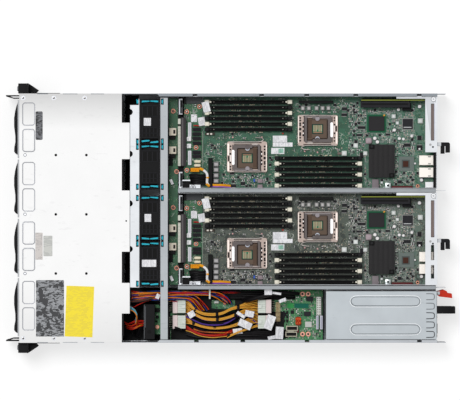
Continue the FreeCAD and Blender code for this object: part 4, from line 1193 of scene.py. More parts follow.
lead([(-165.8, -62, 3), (-166.4, -58, 4.6), (-165.4, -53, 4)], 0.9, (200, 36, 40))
lead([(-89, -50, 8), (-86, -44, 12), (-80, -37.5, 13), (-70, -37.6, 13), (-62, -38.6, 12), (-58, -34, 11)],
     2.3, (240, 240, 242))
for points in ([(-88.8, -51, 9), (-87.2, -46.6, 11.6), (-86, -44.6, 12.2)],
               [(-73.6, -37.0, 14), (-72.6, -37.0, 14.2), (-71.4, -37.2, 14)],
               [(-62, -38.8, 12.6), (-59.4, -37.2, 12), (-57.8, -33.6, 11.2)]):
    lead(points, 2.5, (244, 166, 40))
darks = ((22, 21, 22), (30, 29, 31), (18, 18, 19), (26, 25, 27), (20, 20, 22), (34, 33, 36))
for i, shade in enumerate(darks):
    x = -79 + i * 3.1
    lead([(x + 2, -70 + i, 4), (x, -60, 8 + i % 3), (x + 3, -48, 9), (x + 1, -38, 6), (x + 2, -27, 4)],
         1.9, shade)
for i, shade in enumerate(((246, 172, 46), (240, 158, 36), (146, 92, 196), (24, 23, 24))):
    x = -59.8 + i * 1.9
    lead([(x - 1, -34, 6), (x, -26, 11), (x - 0.4, -12, 12 - i * 0.4), (x + 0.6, -2, 7), (x + 1, 4, 3)],
         1.15, shade)
for x in (-89.0, -86.6, -84.2):
    for y in (-67.0, -63.0, -59.0, -55.5):
        lead([(x, y, 7), (x + 0.2, y + 1.4, 9.4), (x, y + 3, 7.8)], 1.2, (246, 166, 40))
print(len(leads), "leads")

# %% Join, copy to the other sleds and let them ride
sled_kit = {
    "board": joined("mainboard_board", [finished(board, bright_board)]),
    "card": joined("mainboard_card", [finished(edge_board, link_board), riser]),
    "plastic": joined("mainboard_plastic", plastic_parts),
    "metal": joined("mainboard_metal", metal_parts),
    "small": joined("mainboard_small", tiny_parts),
    "labels": joined("mainboard_labels", label_parts),
    "leads": joined("mainboard_leads", leads),
}
for kind, master in sled_kit.items():
    for n in sled_numbers:
        piece = copied(master, SLED_SHIFT[n])
        if kind == "board" and n % 2 == 0:
            finished(piece, olive_board)
        replaced = [f"mainboard_{n}"] if kind == "board" else []
        mounted(piece, f"sled_{n}", f"mainboard_{n}_{kind}", smooth=35, replaces=replaced)
    print(kind, len(master.data.polygons), "faces")
discard(*sled_kit.values())

# %% [markdown]
# ## The cover over the drives
# The flat cover shows pressed pads, a line of screws along each edge, a few
# round holes and paper labels. The CAD node has the sheet and the pads. Its copy
# gets real holes with black discs below them as painted shade, and each pad gets
# a sloping rim in a grey finish that paints the slope's shade, which draws the
# pad's outline on bright metal. Grey discs round the screws paint the shade of
# their dimples. The copy lies a tenth of a millimetre low, so that labels and
# screw heads stay inside the machine's height.

# %% Cover sheet with holes
COVER_TOP = 86.92
BAY_PITCH_X, BAY_PITCH_Z, COLUMNS = 106.4, 28.2, 4
SCREW_Y = (-367.0, -312.0, -257.0)
HOLES = [(x, y, 2.4) for x in (-112.9, -6.8, 99.0) for y in (-308.5, -253.8)] + [(5.0, -182.6, 1.5)]
cover = eased_node("drive_cage_cover", cover_sheet, 0.15)
cover.data.transform(Matrix.Translation((0, 0, -0.08 * MM)))
cover = cut_away(cover, [drum((x, y, 80), r, 12, "Z", 16, 0) for x, y, r in HOLES])
only(cover)
bpy.ops.object.shade_smooth_by_angle(angle=math.radians(30))
# Black discs below the holes: painted shade, so that the holes read dark.
hole_shade = drum((0, 0, 82.2), 3.6, 3.2, "Z", 16, 0.3)
hole_shades = row(in_plastic(hole_shade, (12, 12, 12)), [(x, y, 0) for x, y, r in HOLES if r > 2])
mounted(joined("cover_hole_painted_shade", hole_shades), "case")
print("cover holes:", len(HOLES))

# %% Pad rims
def pad_rim(x, y, width, depth, corner, border=1.7, drop=0.34):
    """A sloping rim that steps down from the sheet to a pad's floor; its grey finish is painted shade of the
    slope.
    """
    rim = plate(span(x, width / 2), span(y, depth / 2), (COVER_TOP, COVER_TOP), corner, 5)
    with editing(rim):
        bpy.ops.mesh.delete(type="ONLY_FACE")
        bpy.ops.mesh.select_all(action="SELECT")
        bpy.ops.mesh.remove_doubles(threshold=0.00001)
        bpy.ops.mesh.edge_face_add()
        bpy.ops.mesh.normals_make_consistent(inside=False)
        bpy.ops.mesh.inset(thickness=border * MM, depth=-drop * MM)
        bpy.ops.mesh.delete(type="ONLY_FACE")
    return finished(rim, cover_rim_painted_shade)


rims = []
for column in range(COLUMNS):
    for side in (-1, 1):
        rims.append(pad_rim((column - 1.5) * BAY_PITCH_X - 3.0 + side * 23.6, -357.0, 41.5, 23.0, 5.4))
pad_rims = mounted(joined("cover_pad_rims", rims), "case")
print("rims:", len(rims), "faces:", len(pad_rims.data.polygons))

# %% Screws and rings
def cross_screw(at, radius, height=1.0, colour=(164, 162, 160)):
    """A pan head with a crossed recess."""
    head = painted(drum(at, radius, height, "Z", 18, radius * 0.22, 2), colour)
    x, y, z = at[0], at[1], at[2] + height
    slots = [block(span(x, a), span(y, b), (z - 0.2, z + 0.03), 0)
             for a, b in ((radius * 0.6, radius * 0.14), (radius * 0.14, radius * 0.6))]
    return finished(joined("screw", [head] + [painted(s, (66, 66, 70)) for s in slots]), tinted_metal)


screw = cross_screw((0, 0, COVER_TOP - 0.93), 2.5)
# Grey disc round each screw: painted shade of the dimple the screw sits in.
dimple_shade = in_metal(drum((0, 0, COVER_TOP - 0.9), 4.4, 0.92, "Z", 20, 0.3), (206, 208, 214))
places = [(side * 215.0, y, 0) for side in (-1, 1) for y in SCREW_Y]
mounted(joined("cover_screws", row(joined("screw_and_dimple_shade", [screw, dimple_shade]), places)), "case")
ring = in_metal(drum((0, 0, COVER_TOP - 0.5), 3.1, 0.54, "Z", 20, 0.15), (128, 130, 136))
core = in_metal(drum((0, 0, COVER_TOP - 0.5), 2.0, 0.57, "Z", 16, 0.2), (236, 237, 240))
rings = row(joined("ring", [ring, core]), [(x, -363.6, 0) for x in (-113.0, -7.0, 99.0)])
mounted(joined("cover_rivets", rings), "case")
folds = [finished(block(x, (-177.6, -176.2), (80.0, 86.7), 0.4), inner_sheet)
         for x in ((-170.4, -106.0), (-49.2, 59.6), (116.2, 170.2))]
mounted(joined("cover_rear_folds", folds), "case")
print("cover hardware done")

# %% Cover labels
def cover_label(name, x, y, finish, corner=1.0, turn=0):
    """A thin paper between two limits in x and in y, turned about its middle."""
    across, along = (x[1] - x[0]) / 2, (y[1] - y[0]) / 2
    label = plate(span(0, across), span(0, along), (COVER_TOP, COVER_TOP + 0.06), corner)
    finished(label, finish)
    placed = copied(label, ((x[0] + x[1]) / 2, (y[0] + y[1]) / 2, 0), turn)
    discard(label)
    return mounted(placed, "case", name, smooth=0)


grey_ink = printed_paper("grey_on_black", (52, 53, 56), (196, 199, 204), 1.3, 0.30, "X", 0.42)
dark_ink = printed_paper("dark_grey_on_black", (36, 37, 40), (142, 144, 150), 1.3, 0.34, "X", 0.42)
cover_label("cover_label_narrow", (-191.0, -140.0), (-344.7, -332.0), dark_ink, 2.2)
cover_label("cover_label_wide", (110.8, 211.7), (-343.9, -293.8), grey_ink, 0.8)
cover_label("cover_label_beige", (25.9, 74.2), (-345.0, -332.0),
            printed_paper("beige_label", (216, 210, 206), (150, 148, 150), 2.4, 0.6, "X"), 0.5)
cover_label("cover_label_pale", (31.4, 68.1), (-330.7, -314.6),
            printed_paper("pale_label", (210, 211, 206), (158, 160, 160), 1.8, 0.5, "X"), 1.5)
cover_label("cover_label_yellow", (121.6, 212.4), (-291.0, -241.4),
            printed_paper("yellow_label", (255, 231, 40), (212, 190, 70), 1.7, 0.6, "X", 0.45), 0.6, -2)
print("labels placed")

# %% [markdown]
# ## Front: drive carriers and levers
# Each bay holds a carrier whose face is almost all lever: a long dark arm with
# rows of air slots. One lever is finished from its CAD shape, with the slots cut
# through its face, and the eleven others are shifted copies of it.

# %% Levers
SLOT_PITCH, SLOT_W, SLOT_H = 4.4, 2.1, 8.0


def bay_shift(n):
    """From the first bay to bay n; bays count along the row, then upwards."""
    return ((n - 1) % COLUMNS * BAY_PITCH_X, 0, (n - 1) // COLUMNS * BAY_PITCH_Z)


lever = eased_node("drive_lever_1", lever_plastic, 0.5, angle=40)
low, high = corners("drive_lever_1")
slots = []
for i in range(15):
    x = low.x + 15 + i * SLOT_PITCH
    slots += [block((x, x + SLOT_W), (-392, -375.6), (z, z + SLOT_H), 0) for z in (low.z + 2.4, low.z + 12.4)]
lever = cut_away(lever, slots)
grip = block((high.x - 17.0, high.x - 4.5), (-382.6, -378.4), (low.z + 3.4, high.z - 3.4), 0.8, 2)
lever = joined("drive_lever_1_arm", [lever, finished(grip, grey_plastic)])
for n in range(2, 13):
    mounted(copied(lever, bay_shift(n)), f"drive_lever_{n}", f"drive_lever_{n}_arm",
            replaces=[f"drive_lever_{n}"])
only(lever)
bpy.ops.object.shade_smooth_by_angle(angle=math.radians(30))
print("levers:", 12, "faces each:", len(lever.data.polygons))

# %% Carriers and drive labels
low, high = corners("drive_carrier_1")
carrier = eased_node("drive_carrier_1", drive_alloy, 0.35, angle=40)
paper = sticker((low.x + 14, high.x - 14), (low.y + 42, low.y + 118), high.z - 0.48)
lid = block((low.x + 4, high.x - 4), (low.y + 12, high.y - 24), (high.z - 1.2, high.z - 0.5), 0.3)
finished(lid, drive_alloy)
caps = [cross_screw((low.x + a, low.y + b, high.z - 0.9), 2.4, 0.8) for a in (9, 94) for b in (18, 88, 148)]
circuit = block((low.x + 6, low.x + 97), (low.y + 14, low.y + 120), (low.z + 0.1, low.z + 0.5), 0.1)
trim = joined("drive_carrier_1_trim", [lid, paper, finished(circuit, link_board), *caps])
for n in range(2, 13):
    mounted(copied(carrier, bay_shift(n)), f"drive_carrier_{n}", f"drive_carrier_{n}_frame",
            replaces=[f"drive_carrier_{n}"])
for n in range(1, 13):
    mounted(copied(trim, bay_shift(n)), f"drive_carrier_{n}", f"drive_carrier_{n}_trim")
discard(trim)
print("carriers done")

# %% Ears, buttons and handles
for side in ("left", "right"):
    eased_node("rack_ear_" + side, black_plastic, 0.45)
for n in sled_numbers:
    low, high = corners(f"power_button_{n}")
    middle = (low + high) / 2
    cap = drum((middle.x, low.y, middle.z), 4.2, high.y - low.y, "Y", 28, 0.5, 2)
    sunk(cap, lambda at, n: n.y < -0.9, 0.7, 0.5)
    in_plastic(cap, (150, 152, 156))
    lit = in_plastic(drum((middle.x, low.y + 0.3, middle.z), 1.1, 0.5, "Y", 16, 0.1),
                     (120, 200, 130) if n % 2 == 0 else (196, 222, 240))
    mounted(joined(f"power_button_{n}_cap", [cap, lit]), f"power_button_{n}",
            replaces=[f"power_button_{n}"])
print("ears and buttons done")

# %% [markdown]
# ## The fan row
# Four square fans stand across the case between a rail and a brace. Rubber pins
# hold each corner; their bright blue tails droop inside the frame's open
# corners. Seen from above, each frame shows two flanges, a ribbed body and a
# small paper label.

# %% Fan frames
FAN_X, FAN_Z, HALF = (-172.9, -91.9, -0.3, 81.6), 43.2, 35.75
FLANGE = {-1: -160.3, 1: -120.3}
eased_node("fan_frames", fan_plastic, 0.4)


def fan_crown():
    """Ribs on top of one frame, drawn for a fan at x = 0."""
    ribs, z = [], 82.9

    def rib(x, y, height, ease, colour, foot=z):
        ribs.append(painted(block(x, y, (foot, z + height), ease), colour))

    for y in (-158.6, -122.0):
        rib((-39.6, 39.6), span(y, 0.6), 0.9, 0.25, (66, 66, 70))
    for x0, x1, lines in ((-27.0, -10.5, 4), (12.0, 20.0, 5), (21.5, 27.0, 5)):
        for i in range(lines):
            rib((x0, x1), span(-153.6 + i * (26.6 / (lines - 1)), 1.0), 0.7, 0.25, (36, 36, 39))
        # A near-black strip under each group of ribs: painted shade in the recess between them.
        rib((x0, x1), (-153.0, -127.6), 0.35, 0.1, (9, 9, 10), z - 0.2)
    for x in (-28.6, -9.4, 10.8, 20.8, 28.4):
        rib(span(x, 0.7), (-154.8, -126.0), 0.8, 0.25, (34, 35, 38))
    for x in (-39.0, 39.0):
        rib(span(x, 0.6), (-158.6, -122.0), 0.6, 0.2, (16, 16, 18))
    return finished(joined("fan_crown", ribs), tinted_plastic)


mounted(joined("fan_crowns", row(fan_crown(), [(x, 0, 0) for x in FAN_X])), "case")
tags = [((-179.3, -165.4), (-151.2, -138.4)), ((-7.4, 6.6), (-149.7, -138.0)),
        ((74.5, 87.1), (-154.5, -128.9))]
mounted(joined("fan_labels", [sticker(x, y, 83.7) for x, y in tags]), "case", smooth=0)
print("frames dressed")

# %% Rubber pins
def rubber_pin(end):
    """Head outside the sheet, square shank, and a drooping tail inside the frame."""
    face = FLANGE[end]
    wing = block((-4.3, 4.3), tuple(sorted((face, face + end * 3.8))), span(FAN_Z, 2.2), 0)
    with editing(wing, lambda at, n: n.y * end < -0.9):
        bpy.ops.transform.resize(value=(0.42, 1, 0.7))
    with editing(wing):
        ease_edges(0.5, 2)
    neck = block((-1.45, 1.45), tuple(sorted((face - end * 5.2, face))), span(FAN_Z, 1.45), 0.3)
    root, tip = face - end * 5.0, face - end * 19.4
    tail = block((-1.6, 1.6), tuple(sorted((root, tip))), span(FAN_Z, 1.5), 0)
    with editing(tail, lambda at, n: n.y * end < -0.9):
        bpy.ops.transform.resize(value=(0.7, 1, 0.8))
        bpy.ops.transform.translate(value=(0, 0, -1.2 * MM))
    with editing(tail, lambda at, n: abs(n.y) > 0.9):
        ease_edges(0.4)
    return finished(joined("rubber_pin", [wing, neck, tail]), rubber)


pins, sway = [], random.Random(5)
for end, face in FLANGE.items():
    pin = rubber_pin(end)
    for x in FAN_X:
        for a in (-HALF, HALF):
            for b in (-HALF, HALF):
                pins.append(copied(pin, (x + a, 0, b), sway.uniform(-6, 6), (0, face, 0)))
    discard(pin)
mounted(joined("rubber_pins", pins), "case", replaces=["fan_mounts"])
print(len(pins), "pins")

# %% Rotors
ROTOR_Y, BLADES = -142.6, 7


def fan_blade():
    """A cambered, twisted blade growing upwards from the hub."""
    blade = block((-0.8, 0.8), (-11.5, 11.5), (16.6, 36.0), 0)
    with editing(blade):
        bpy.ops.mesh.subdivide(number_cuts=5)
    for name, method, angle in (("twist", "TWIST", -26), ("camber", "BEND", 38)):
        form = blade.modifiers.new(name, "SIMPLE_DEFORM")
        form.deform_method, form.deform_axis, form.angle = method, "Z", math.radians(angle)
    only(blade)
    for name in ("twist", "camber"):
        bpy.ops.object.modifier_apply(modifier=name)
    return blade


flat_blade = fan_blade()
reach = [v.co.x / MM for v in flat_blade.data.vertices]
print("blade x from", round(min(reach), 1), "to", round(max(reach), 1))
blade = copied(flat_blade, (0, ROTOR_Y, FAN_Z), 38)
blades = [copied(blade, (0, 0, 0), 360 / BLADES * i, (0, ROTOR_Y, FAN_Z), "Y") for i in range(BLADES)]
hub = drum((0, -156.3, FAN_Z), 18.0, 27.5, "Y", 40, 1.4, 3)
sunk(hub, lambda at, n: n.y < -0.9, 4.0, 0.8)
axle = drum((0, -129.5, FAN_Z), 1.5, 5.6, "Y", 12, 0.2)
plug = finished(drum((0, -155.9, FAN_Z), 9.0, 0.5, "Y", 28, 0.1), white_label)
rotor = finished(joined("fan_rotor", [hub, axle, *blades]), fan_plastic)
rotor = joined("fan_rotor", [rotor, plug])
for n, x in enumerate(FAN_X, 1):
    mounted(copied(rotor, (x, 0, 0)), f"fan_rotor_{n}", f"fan_rotor_{n}_blades",
            smooth=40, replaces=[f"fan_rotor_{n}"])
discard(rotor, blade, flat_blade)
print("rotors done")

# %% [markdown]
# ## Midplane and power boards
# One CAD node holds every fixed board behind the fans. In the scene each gets
# its own surface: green boards with copper rings, pale headers with rows of
# contacts, hexagonal spacers. They all ride on the case.

# %% Boards of the case
plastic_parts, metal_parts, label_parts, taken = [], [], [], []
LOW_TOP, DECK, BAY_DECK = 9.1, 31.6, 37.6
BRASS = (214, 196, 120)
boards = [finished(block((-215.0, 119.5), (-106.6, -90.4), (top - BOARD_T, top), 0.2), link_board)
          for top in (TOP, LOW_TOP)]
boards.append(finished(block((129.5, 219.5), (-104.0, 170.0), (DECK - BOARD_T, DECK), 0.2), power_green))
boards.append(finished(block((155.6, 208.5), (-131.9, -121.6), (BAY_DECK - BOARD_T, BAY_DECK), 0.2),
                       power_green))
mounted(joined("case_boards", boards), "case", replaces=["distribution_boards"])
for top in (TOP, LOW_TOP):
    for cx in (MID, MID + SLED_PITCH):
        foot, lift = top - TOP - 3.0, top - TOP
        for x in ((cx - 42.5, cx - 32.6), (cx - 29.0, cx + 42.5)):
            part(x, (-90.3, -85.4), lift + 8.8, (224, 224, 212), foot, 0.5)
        part((cx - 32.8, cx - 28.8), (-90.3, -85.4), lift + 7.6, (40, 42, 40), foot, 0.3)
        comb = block((cx - 28.0, cx - 26.9), (-89.6, -86.2), (top + 8.6, top + 9.0), 0.1)
        kept(row(comb, [(i * 2.6, 0, 0) for i in range(27)]), colour=(188, 188, 176))
        for x, y in ((-56.0, -98.8), (52.4, -92.6)):
            copper_ring(cx + x, y, lift)
        for x in (-25.6, 7.4):
            part((cx + x, cx + x + 13.4), (-106.2, -93.2), lift + 11.0, (224, 214, 196), lift, 0.6)
            part((cx + x + 3.2, cx + x + 10.2), (-98.6, -94.8), lift + 11.3, (34, 30, 30), lift + 10.8, 0.3)
            # Black block beside each header: painted shadow.
            part((cx + x + 13.2, cx + x + 20.4), (-106.2, -95.0), lift + 6.0, (22, 21, 22), lift, 0.4)
        # Black block along the brace: painted shadow of the brace.
        part((cx + 22.0, cx + 42.0), (-106.4, -99.6), lift + 4.0, (18, 18, 19), lift, 0.4)
spacers = [(x, -101.5, z0, z1 - z0) for x in (-205, -48, 110) for z0, z1 in ((1.2, 7.5), (9.1, 50.4))]
spacers += [(x, y, 1.2, 28.8) for x in (135, 214) for y in (-96, 30, 160)]
for x, y, z, tall in spacers:
    kept([drum((x, y, z), 3.2, tall, "Z", 6, 0.4)], True, BRASS)
print("case boards:", len(plastic_parts), "plastic pieces")

# %% Power headers and plugs
def on_deck(x, y, height, colour, foot=0.0, ease=0.3, metal=False):
    """A part on the power board, whose upper face is the deck."""
    return part(x, y, DECK - TOP + height, colour, DECK - TOP + foot, ease, metal)


def comb_row(x, y, z, count, pitch, colour, ease=0.1, metal=False):
    """A row of equal small blocks along x."""
    kept(row(block(x, y, z, ease), [(i * pitch, 0, 0) for i in range(count)]), metal, colour)


PINK, MIST = (238, 220, 218), (222, 230, 220)
for x in (158.4, 186.4):
    for header_y, plug_y in (((-99.7, -90.9), (-90.7, -76.5)), ((67.5, 77.2), (53.2, 67.3))):
        on_deck(span(x, 12.2), header_y, 24, PINK, 0, 0.6)
        on_deck(span(x, 11.8), plug_y, 23, MIST, 1, 0.6)
        latch_y = sorted((plug_y[0] if header_y[0] > 0 else plug_y[1], (plug_y[0] + plug_y[1]) / 2))
        on_deck(span(x, 3.4), latch_y, 25.2, (228, 234, 226), 22, 0.5)
        seam_y = (plug_y[0] + 1.2, plug_y[1] - 1.2)
        comb_row((x - 11.6, x - 11.1), seam_y, (DECK + 22.7, DECK + 23.15), 7, 3.8, (190, 196, 188), 0.05)
        pin_y = span(-103.2 if header_y[0] < 0 else 80.4, 2.6)
        comb_row((x - 10.6, x - 9.0), pin_y, (DECK, DECK + 5.0), 7, 3.3, (20, 20, 21), 0.2)
        comb_row((x - 8.8, x - 7.6), pin_y, (DECK, DECK + 0.6), 6, 3.3, (214, 222, 196))
print("headers and plugs done")

# %% Parts of the power board
for y in (133.4, 143.6):
    for x in (136.5, 208.4):
        can(x, y, 4.6, DECK - TOP + 0.5, (232, 176, 156), True, DECK - TOP, 20)
        can(x, y, 2.0, DECK - TOP + 0.7, (52, 40, 38), False, DECK - TOP + 0.4, 12)
winding = []
for k in range(14):
    angle = k * math.pi / 3
    winding.append((185 + 5.4 * math.cos(angle) * (1 if k % 2 else 0.86), 121.6 + k * 0.62,
                    DECK + 5 + 4.4 * math.sin(angle)))
kept([strands("coil", [winding], 1.0, 2)], True, (226, 86, 44))
on_deck((177.6, 192.4), (121.0, 130.4), 6.5, (196, 70, 40), 0, 1.6)
for x in ((180.0, 183.2), (186.6, 189.8)):
    on_deck(x, (120.4, 131.0), 8.0, (236, 110, 62), 0, 0.8)
comb_row((151.6, 152.8), (85.0, 93.6), (DECK, DECK + 3.2), 15, 2.32, (198, 176, 136), 0.2, True)
on_deck((150.2, 190.0), (86.8, 89.2), 2.4, (60, 54, 50), 0, 0.3)
on_deck((153.4, 161.6), (106.4, 117.2), 0.4, (58, 158, 84), 0, 0.1)
on_deck((153.4, 161.6), (118.8, 144.2), 0.4, (22, 104, 84), 0, 0.1)
on_deck((141.5, 174.6), (158.4, 166.8), 10.0, (238, 238, 232), 0, 0.6)
hole = block((143.0, 145.6), (159.4, 161.8), (DECK + 9.7, DECK + 10.15), 0.1)
kept(row(hole, [(i * 4.05, j * 4.0, 0) for i in range(8) for j in (0, 1)]), colour=(160, 160, 152))
for y in ((157.8, 162.2), (164.8, 169.6)):
    on_deck((175.2, 199.9), y, 10.0, (226, 226, 238), 0, 0.6)
    on_deck((176.6, 198.4), (y[0] + 1.2, y[1] - 1.2), 10.2, (180, 180, 196), 9.8, 0.1)
on_deck((141.5, 199.9), (169.4, 171.4), 8.0, (20, 20, 21), 0, 0.3)
part((141.5, 199.9), (158.0, 169.6), 30.0 - TOP, (40, 40, 43), 19.5 - TOP, 0.5)
blocks = [
    ((196, 212), (104, 118), 5, (206, 206, 200)), ((197, 206), (88, 98), 8, (34, 34, 36)),
    ((132, 138), (96, 112), 6, (30, 30, 32)), ((170, 176), (98, 104), 2, (36, 36, 40)),
    ((166, 172), (112, 118), 2, (36, 36, 40)), ((200, 206), (122, 127), 3, (120, 60, 60)),
    ((141, 149), (140, 152), 6, (44, 44, 48)), ((168, 176), (136, 148), 3, (46, 46, 50)),
    ((186, 196), (138, 150), 3, (214, 216, 210)), ((148, 152), (60, 66), 3, (90, 60, 50)),
]
for x, y, height, colour in blocks:
    on_deck(x, y, height, colour, 0, 0.4)
for x in (167.0, 174.5, 182.0):
    for y in ((98.0, 101.6), (104.0, 107.6)):
        on_deck((x, x + 5.4), y, 4.0, (32, 32, 34), 0, 0.3)
for y, x in ((104.0, 193.4), (102.6, 204.0)):
    on_deck((x, x + 9.0), (y, y + 21.0), 9.0, (214, 208, 186), 0, 0.5)
    on_deck((x + 1.5, x + 7.5), (y + 1.5, y + 19.6), 9.3, (22, 20, 20), 8.8, 0.2)
shields = [
    ((168.0, 218.6), (-74.0, 100.0)), ((130.2, 168.2), (-74.0, -30.0)), ((130.2, 147.0), (-30.2, 104.0)),
    ((146.8, 168.2), (12.0, 52.0)), ((199.0, 218.6), (-103.0, -74.2)),
]
for x, y in shields:
    on_deck(x, y, 1.6, (17, 16, 18), 1.2, 0.1)
can(152.4, -6.0, 3.6, DECK - TOP + 0.6, (226, 150, 140), True, DECK - TOP, 18)
on_deck((148.6, 153.4), (-25.6, -17.0), 6.0, (232, 236, 232), 0, 1.2)
print("power board dressed")

# %% Tiny parts of the fixed boards
deck_fields = [((131, 218), (80, 168), 0.42), ((131, 218), (-88, -78), 0.2), ((150, 200), (-60, 40), 0.05)]
deck_kinds = [
    (tiny(1.9, 1.0, 0.5, (38, 36, 36)), 5), (tiny(2.1, 1.3, 1.2, (186, 160, 128)), 5),
    (tiny(3.3, 1.7, 1.1, (30, 30, 32), (150, 150, 150), 0.2), 3), (tiny(2.2, 1.4, 0.8, (222, 224, 216)), 4),
]
deck_tiny = scattered(deck_kinds, deck_fields, (2.7, 3.0), ((0, 1), (0, 1)), DECK - TOP)
mounted(joined("case_small_parts", deck_tiny), "case", smooth=0)
mounted(joined("case_board_plastic", plastic_parts), "case")
mounted(joined("case_board_metal", metal_parts), "case")
print(len(taken), "parts on the fixed boards")

# %% [markdown]
# ## The power harness
# Bundles of gold-coloured wire bow from one pair of plugs to the other, with
# black ties in the middle. Each wire is its own smooth line with a round
# section. It leaves its own contact, comes together with its neighbours under
# the tie, and spreads again at the far plug.

# %% Wire bundles
GOLD, GOLD_DEEP, NIGHT, VIOLET = (238, 178, 74), (214, 146, 48), (24, 22, 24), (86, 60, 150)
RED, BLUE, AMBER, MAROON = (206, 46, 34), (34, 66, 150), (238, 138, 36), (120, 24, 24)
harness_pieces = []


def wire(points, colour, radius, sides=1):
    """One insulated wire of the harness along its points."""
    harness_pieces.append(in_skin(strands("wire", [points], radius, sides), colour))


def bundle(route, width, tall, colours, radius=1.15, spread=1.0, seed=1):
    """Wires along a route of (x, y, z) points, fanned out at both ends."""
    wander = random.Random(seed)
    count, last = len(colours), len(route) - 1
    for i, colour in enumerate(colours):
        line = []
        across = (i + 0.5) / count - 0.5
        for k, (x, y, z) in enumerate(route):
            end = k in (0, last)
            fan = (1.0, 0.45, 0.0, 0.0) if k < last / 2 else (1.0, 0.8, 0.4, 0.0)
            w = width * max(fan[min(k, last - k, 3)], 0.62 * spread)
            lift = (i % 3 - 1) * tall * (0.5 if end else 0.34) + wander.uniform(-0.5, 0.5)
            sway = 0 if end else wander.uniform(-0.8, 0.8) * min(spread, 1.0)
            line.append((x + across * w + sway, y, z + lift))
        wire(line, colour, radius)


def fanned(first, last, colours, radius=0.8, seed=1, stray=1.6):
    """Wires spread between two routes with the same number of points."""
    wander = random.Random(seed)
    for i, colour in enumerate(colours):
        share = i / (len(colours) - 1)
        line = [tuple(Vector(a).lerp(Vector(b), share) + Vector(wander.uniform(-stray, stray) for _ in "xyz"))
                for a, b in zip(first, last)]
        wire(line, colour, radius)


golds = [GOLD, GOLD_DEEP, GOLD, GOLD, GOLD_DEEP, GOLD]
routes = [
    ([(152, -76.5, 50), (154, -70, 52), (165, -60, 55), (171.6, -46, 56), (173.3, -27, 56), (171, -10, 56),
      (164, 2, 56), (160, 14, 55), (158, 26, 53), (154, 40, 50), (152, 53.2, 48)], golds, 20.0, 0.36),
    ([(164, -76.5, 46), (166, -70, 50), (174, -58, 53), (181, -44, 54), (182.6, -27, 54), (182, -14, 54),
      (178, 2, 54), (173, 14, 53), (168, 28, 50), (166, 42, 46), (166, 53.2, 44)],
     golds + [VIOLET], 20.0, 0.42),
    ([(181, -76.5, 46), (186, -70, 47), (190, -60, 48), (195.5, -44, 48), (198, -27, 47), (197, -8, 47),
      (194, 6.7, 47), (188, 24, 46), (182, 44, 46), (180, 53.2, 46)], golds, 18.0, 0.34),
    ([(176, -76.5, 48), (182, -64, 50), (190, -48, 50), (193, -27, 50), (190, -6, 50), (181, 10, 50),
      (172, 20, 51), (176, 36, 48), (184, 46, 46), (190, 53.2, 46)], [VIOLET] * 2, 2.0, 1.0),
    ([(197, -76.5, 46), (201, -68, 48), (207, -58, 51), (210.4, -46, 53), (212, -28, 54), (211, -12, 53),
      (208, 0, 50), (204, 10, 46)], [RED, RED, (150, 26, 28), RED, GOLD], 12.0, 0.8),
    ([(199, -62, 46), (204, -50, 50), (205, -30, 52), (206, -6, 51), (205, 10, 46)],
     [MAROON, GOLD_DEEP, MAROON], 5.0, 0.8),
    ([(213, -2, 52), (209, 8, 54), (204, 20, 54), (199, 34, 52), (195, 46, 48), (193, 53.2, 46)],
     [GOLD, GOLD_DEEP, GOLD], 5.0, 0.8),
    ([(150, -76.5, 38), (156, -60, 38), (168, -30, 39), (168, 10, 39), (160, 36, 38), (152, 53.2, 38)],
     [NIGHT] * 6, 12.0, 1.2),
    ([(180, -76.5, 37), (184, -60, 37), (190, -30, 37), (188, 10, 37), (184, 36, 37), (182, 53.2, 38)],
     [NIGHT] * 6, 14.0, 1.2),
    ([(166, -70, 47), (176, -50, 48), (190, -30, 48), (189, -4, 48), (178, 14, 47), (170, 30, 46)],
     [NIGHT] * 4, 8.0, 1.0),
    ([(196, -70, 41), (203, -50, 41), (206, -24, 42), (202, 4, 42), (196, 30, 42)], [NIGHT] * 4, 9.0, 1.0),
]
for seed, (route, colours, width, spread) in enumerate(routes):
    bundle(route, width, 3.4, colours, 0.74, spread, seed)
mixed = [RED, AMBER, NIGHT, BLUE, RED, NIGHT, AMBER, BLUE, RED, NIGHT, AMBER, RED, BLUE, NIGHT]
fanned([(133, -172, 60), (133, -150, 64), (133, -122, 68), (132.5, -100, 67), (133, -75, 64), (138, -56, 60),
        (150, -43, 52), (165, -34, 42)],
       [(150, -172, 56), (147, -150, 60), (147, -122, 66), (146, -100, 66), (144, -82, 62), (147, -70, 58),
        (156, -62, 50), (167, -54, 42)], mixed, 0.8, 31, 2.3)
fanned([(131, -172, 62), (132, -140, 66), (131, -100, 68), (131, -60, 66), (131, -32, 63), (133, -12, 58),
        (142, 3, 52), (153, 8, 42)],
       [(146, -172, 60), (143, -140, 64), (140, -100, 67), (137, -60, 64), (136, -38, 60), (141, -26, 56),
        (149, -14, 50), (153, -4, 42)], mixed[::-1], 0.8, 32, 2.3)
fanned([(131, -172, 56), (136, -150, 60), (143, -128, 62), (150, -108, 60), (151, -92, 54)],
       [(160, -176, 50), (152, -156, 56), (147, -134, 60), (140, -108, 60), (138, -92, 54)],
       [RED, GOLD, BLUE, AMBER, NIGHT, RED, BLUE, NIGHT, RED], 0.8, 34, 2.3)
bundle([(136, -160, 40), (134, -140, 52), (134, -110, 60), (134, -70, 58), (133, -40, 52), (132, 0, 46),
        (134, 40, 40), (140, 78, 36)], 9.0, 3.0, [NIGHT, RED, NIGHT, BLUE, NIGHT, RED, AMBER], 0.85, 1.0, 33)
print(len(harness_pieces), "wires")

# %% Ties, sheathed leads and tags
def tie(x, y, z, width):
    """A tie: a short drum, pressed flat around its bundle."""
    ring = drum((x, y, z), width * 0.5, 5.0, "Y", 14, 0.8)
    ring.data.transform(Matrix.Translation((0, 0, z * MM)) @ Matrix.Diagonal((1, 1, 0.62, 1))
                        @ Matrix.Translation((0, 0, -z * MM)))
    harness_pieces.append(in_plastic(ring, NIGHT))


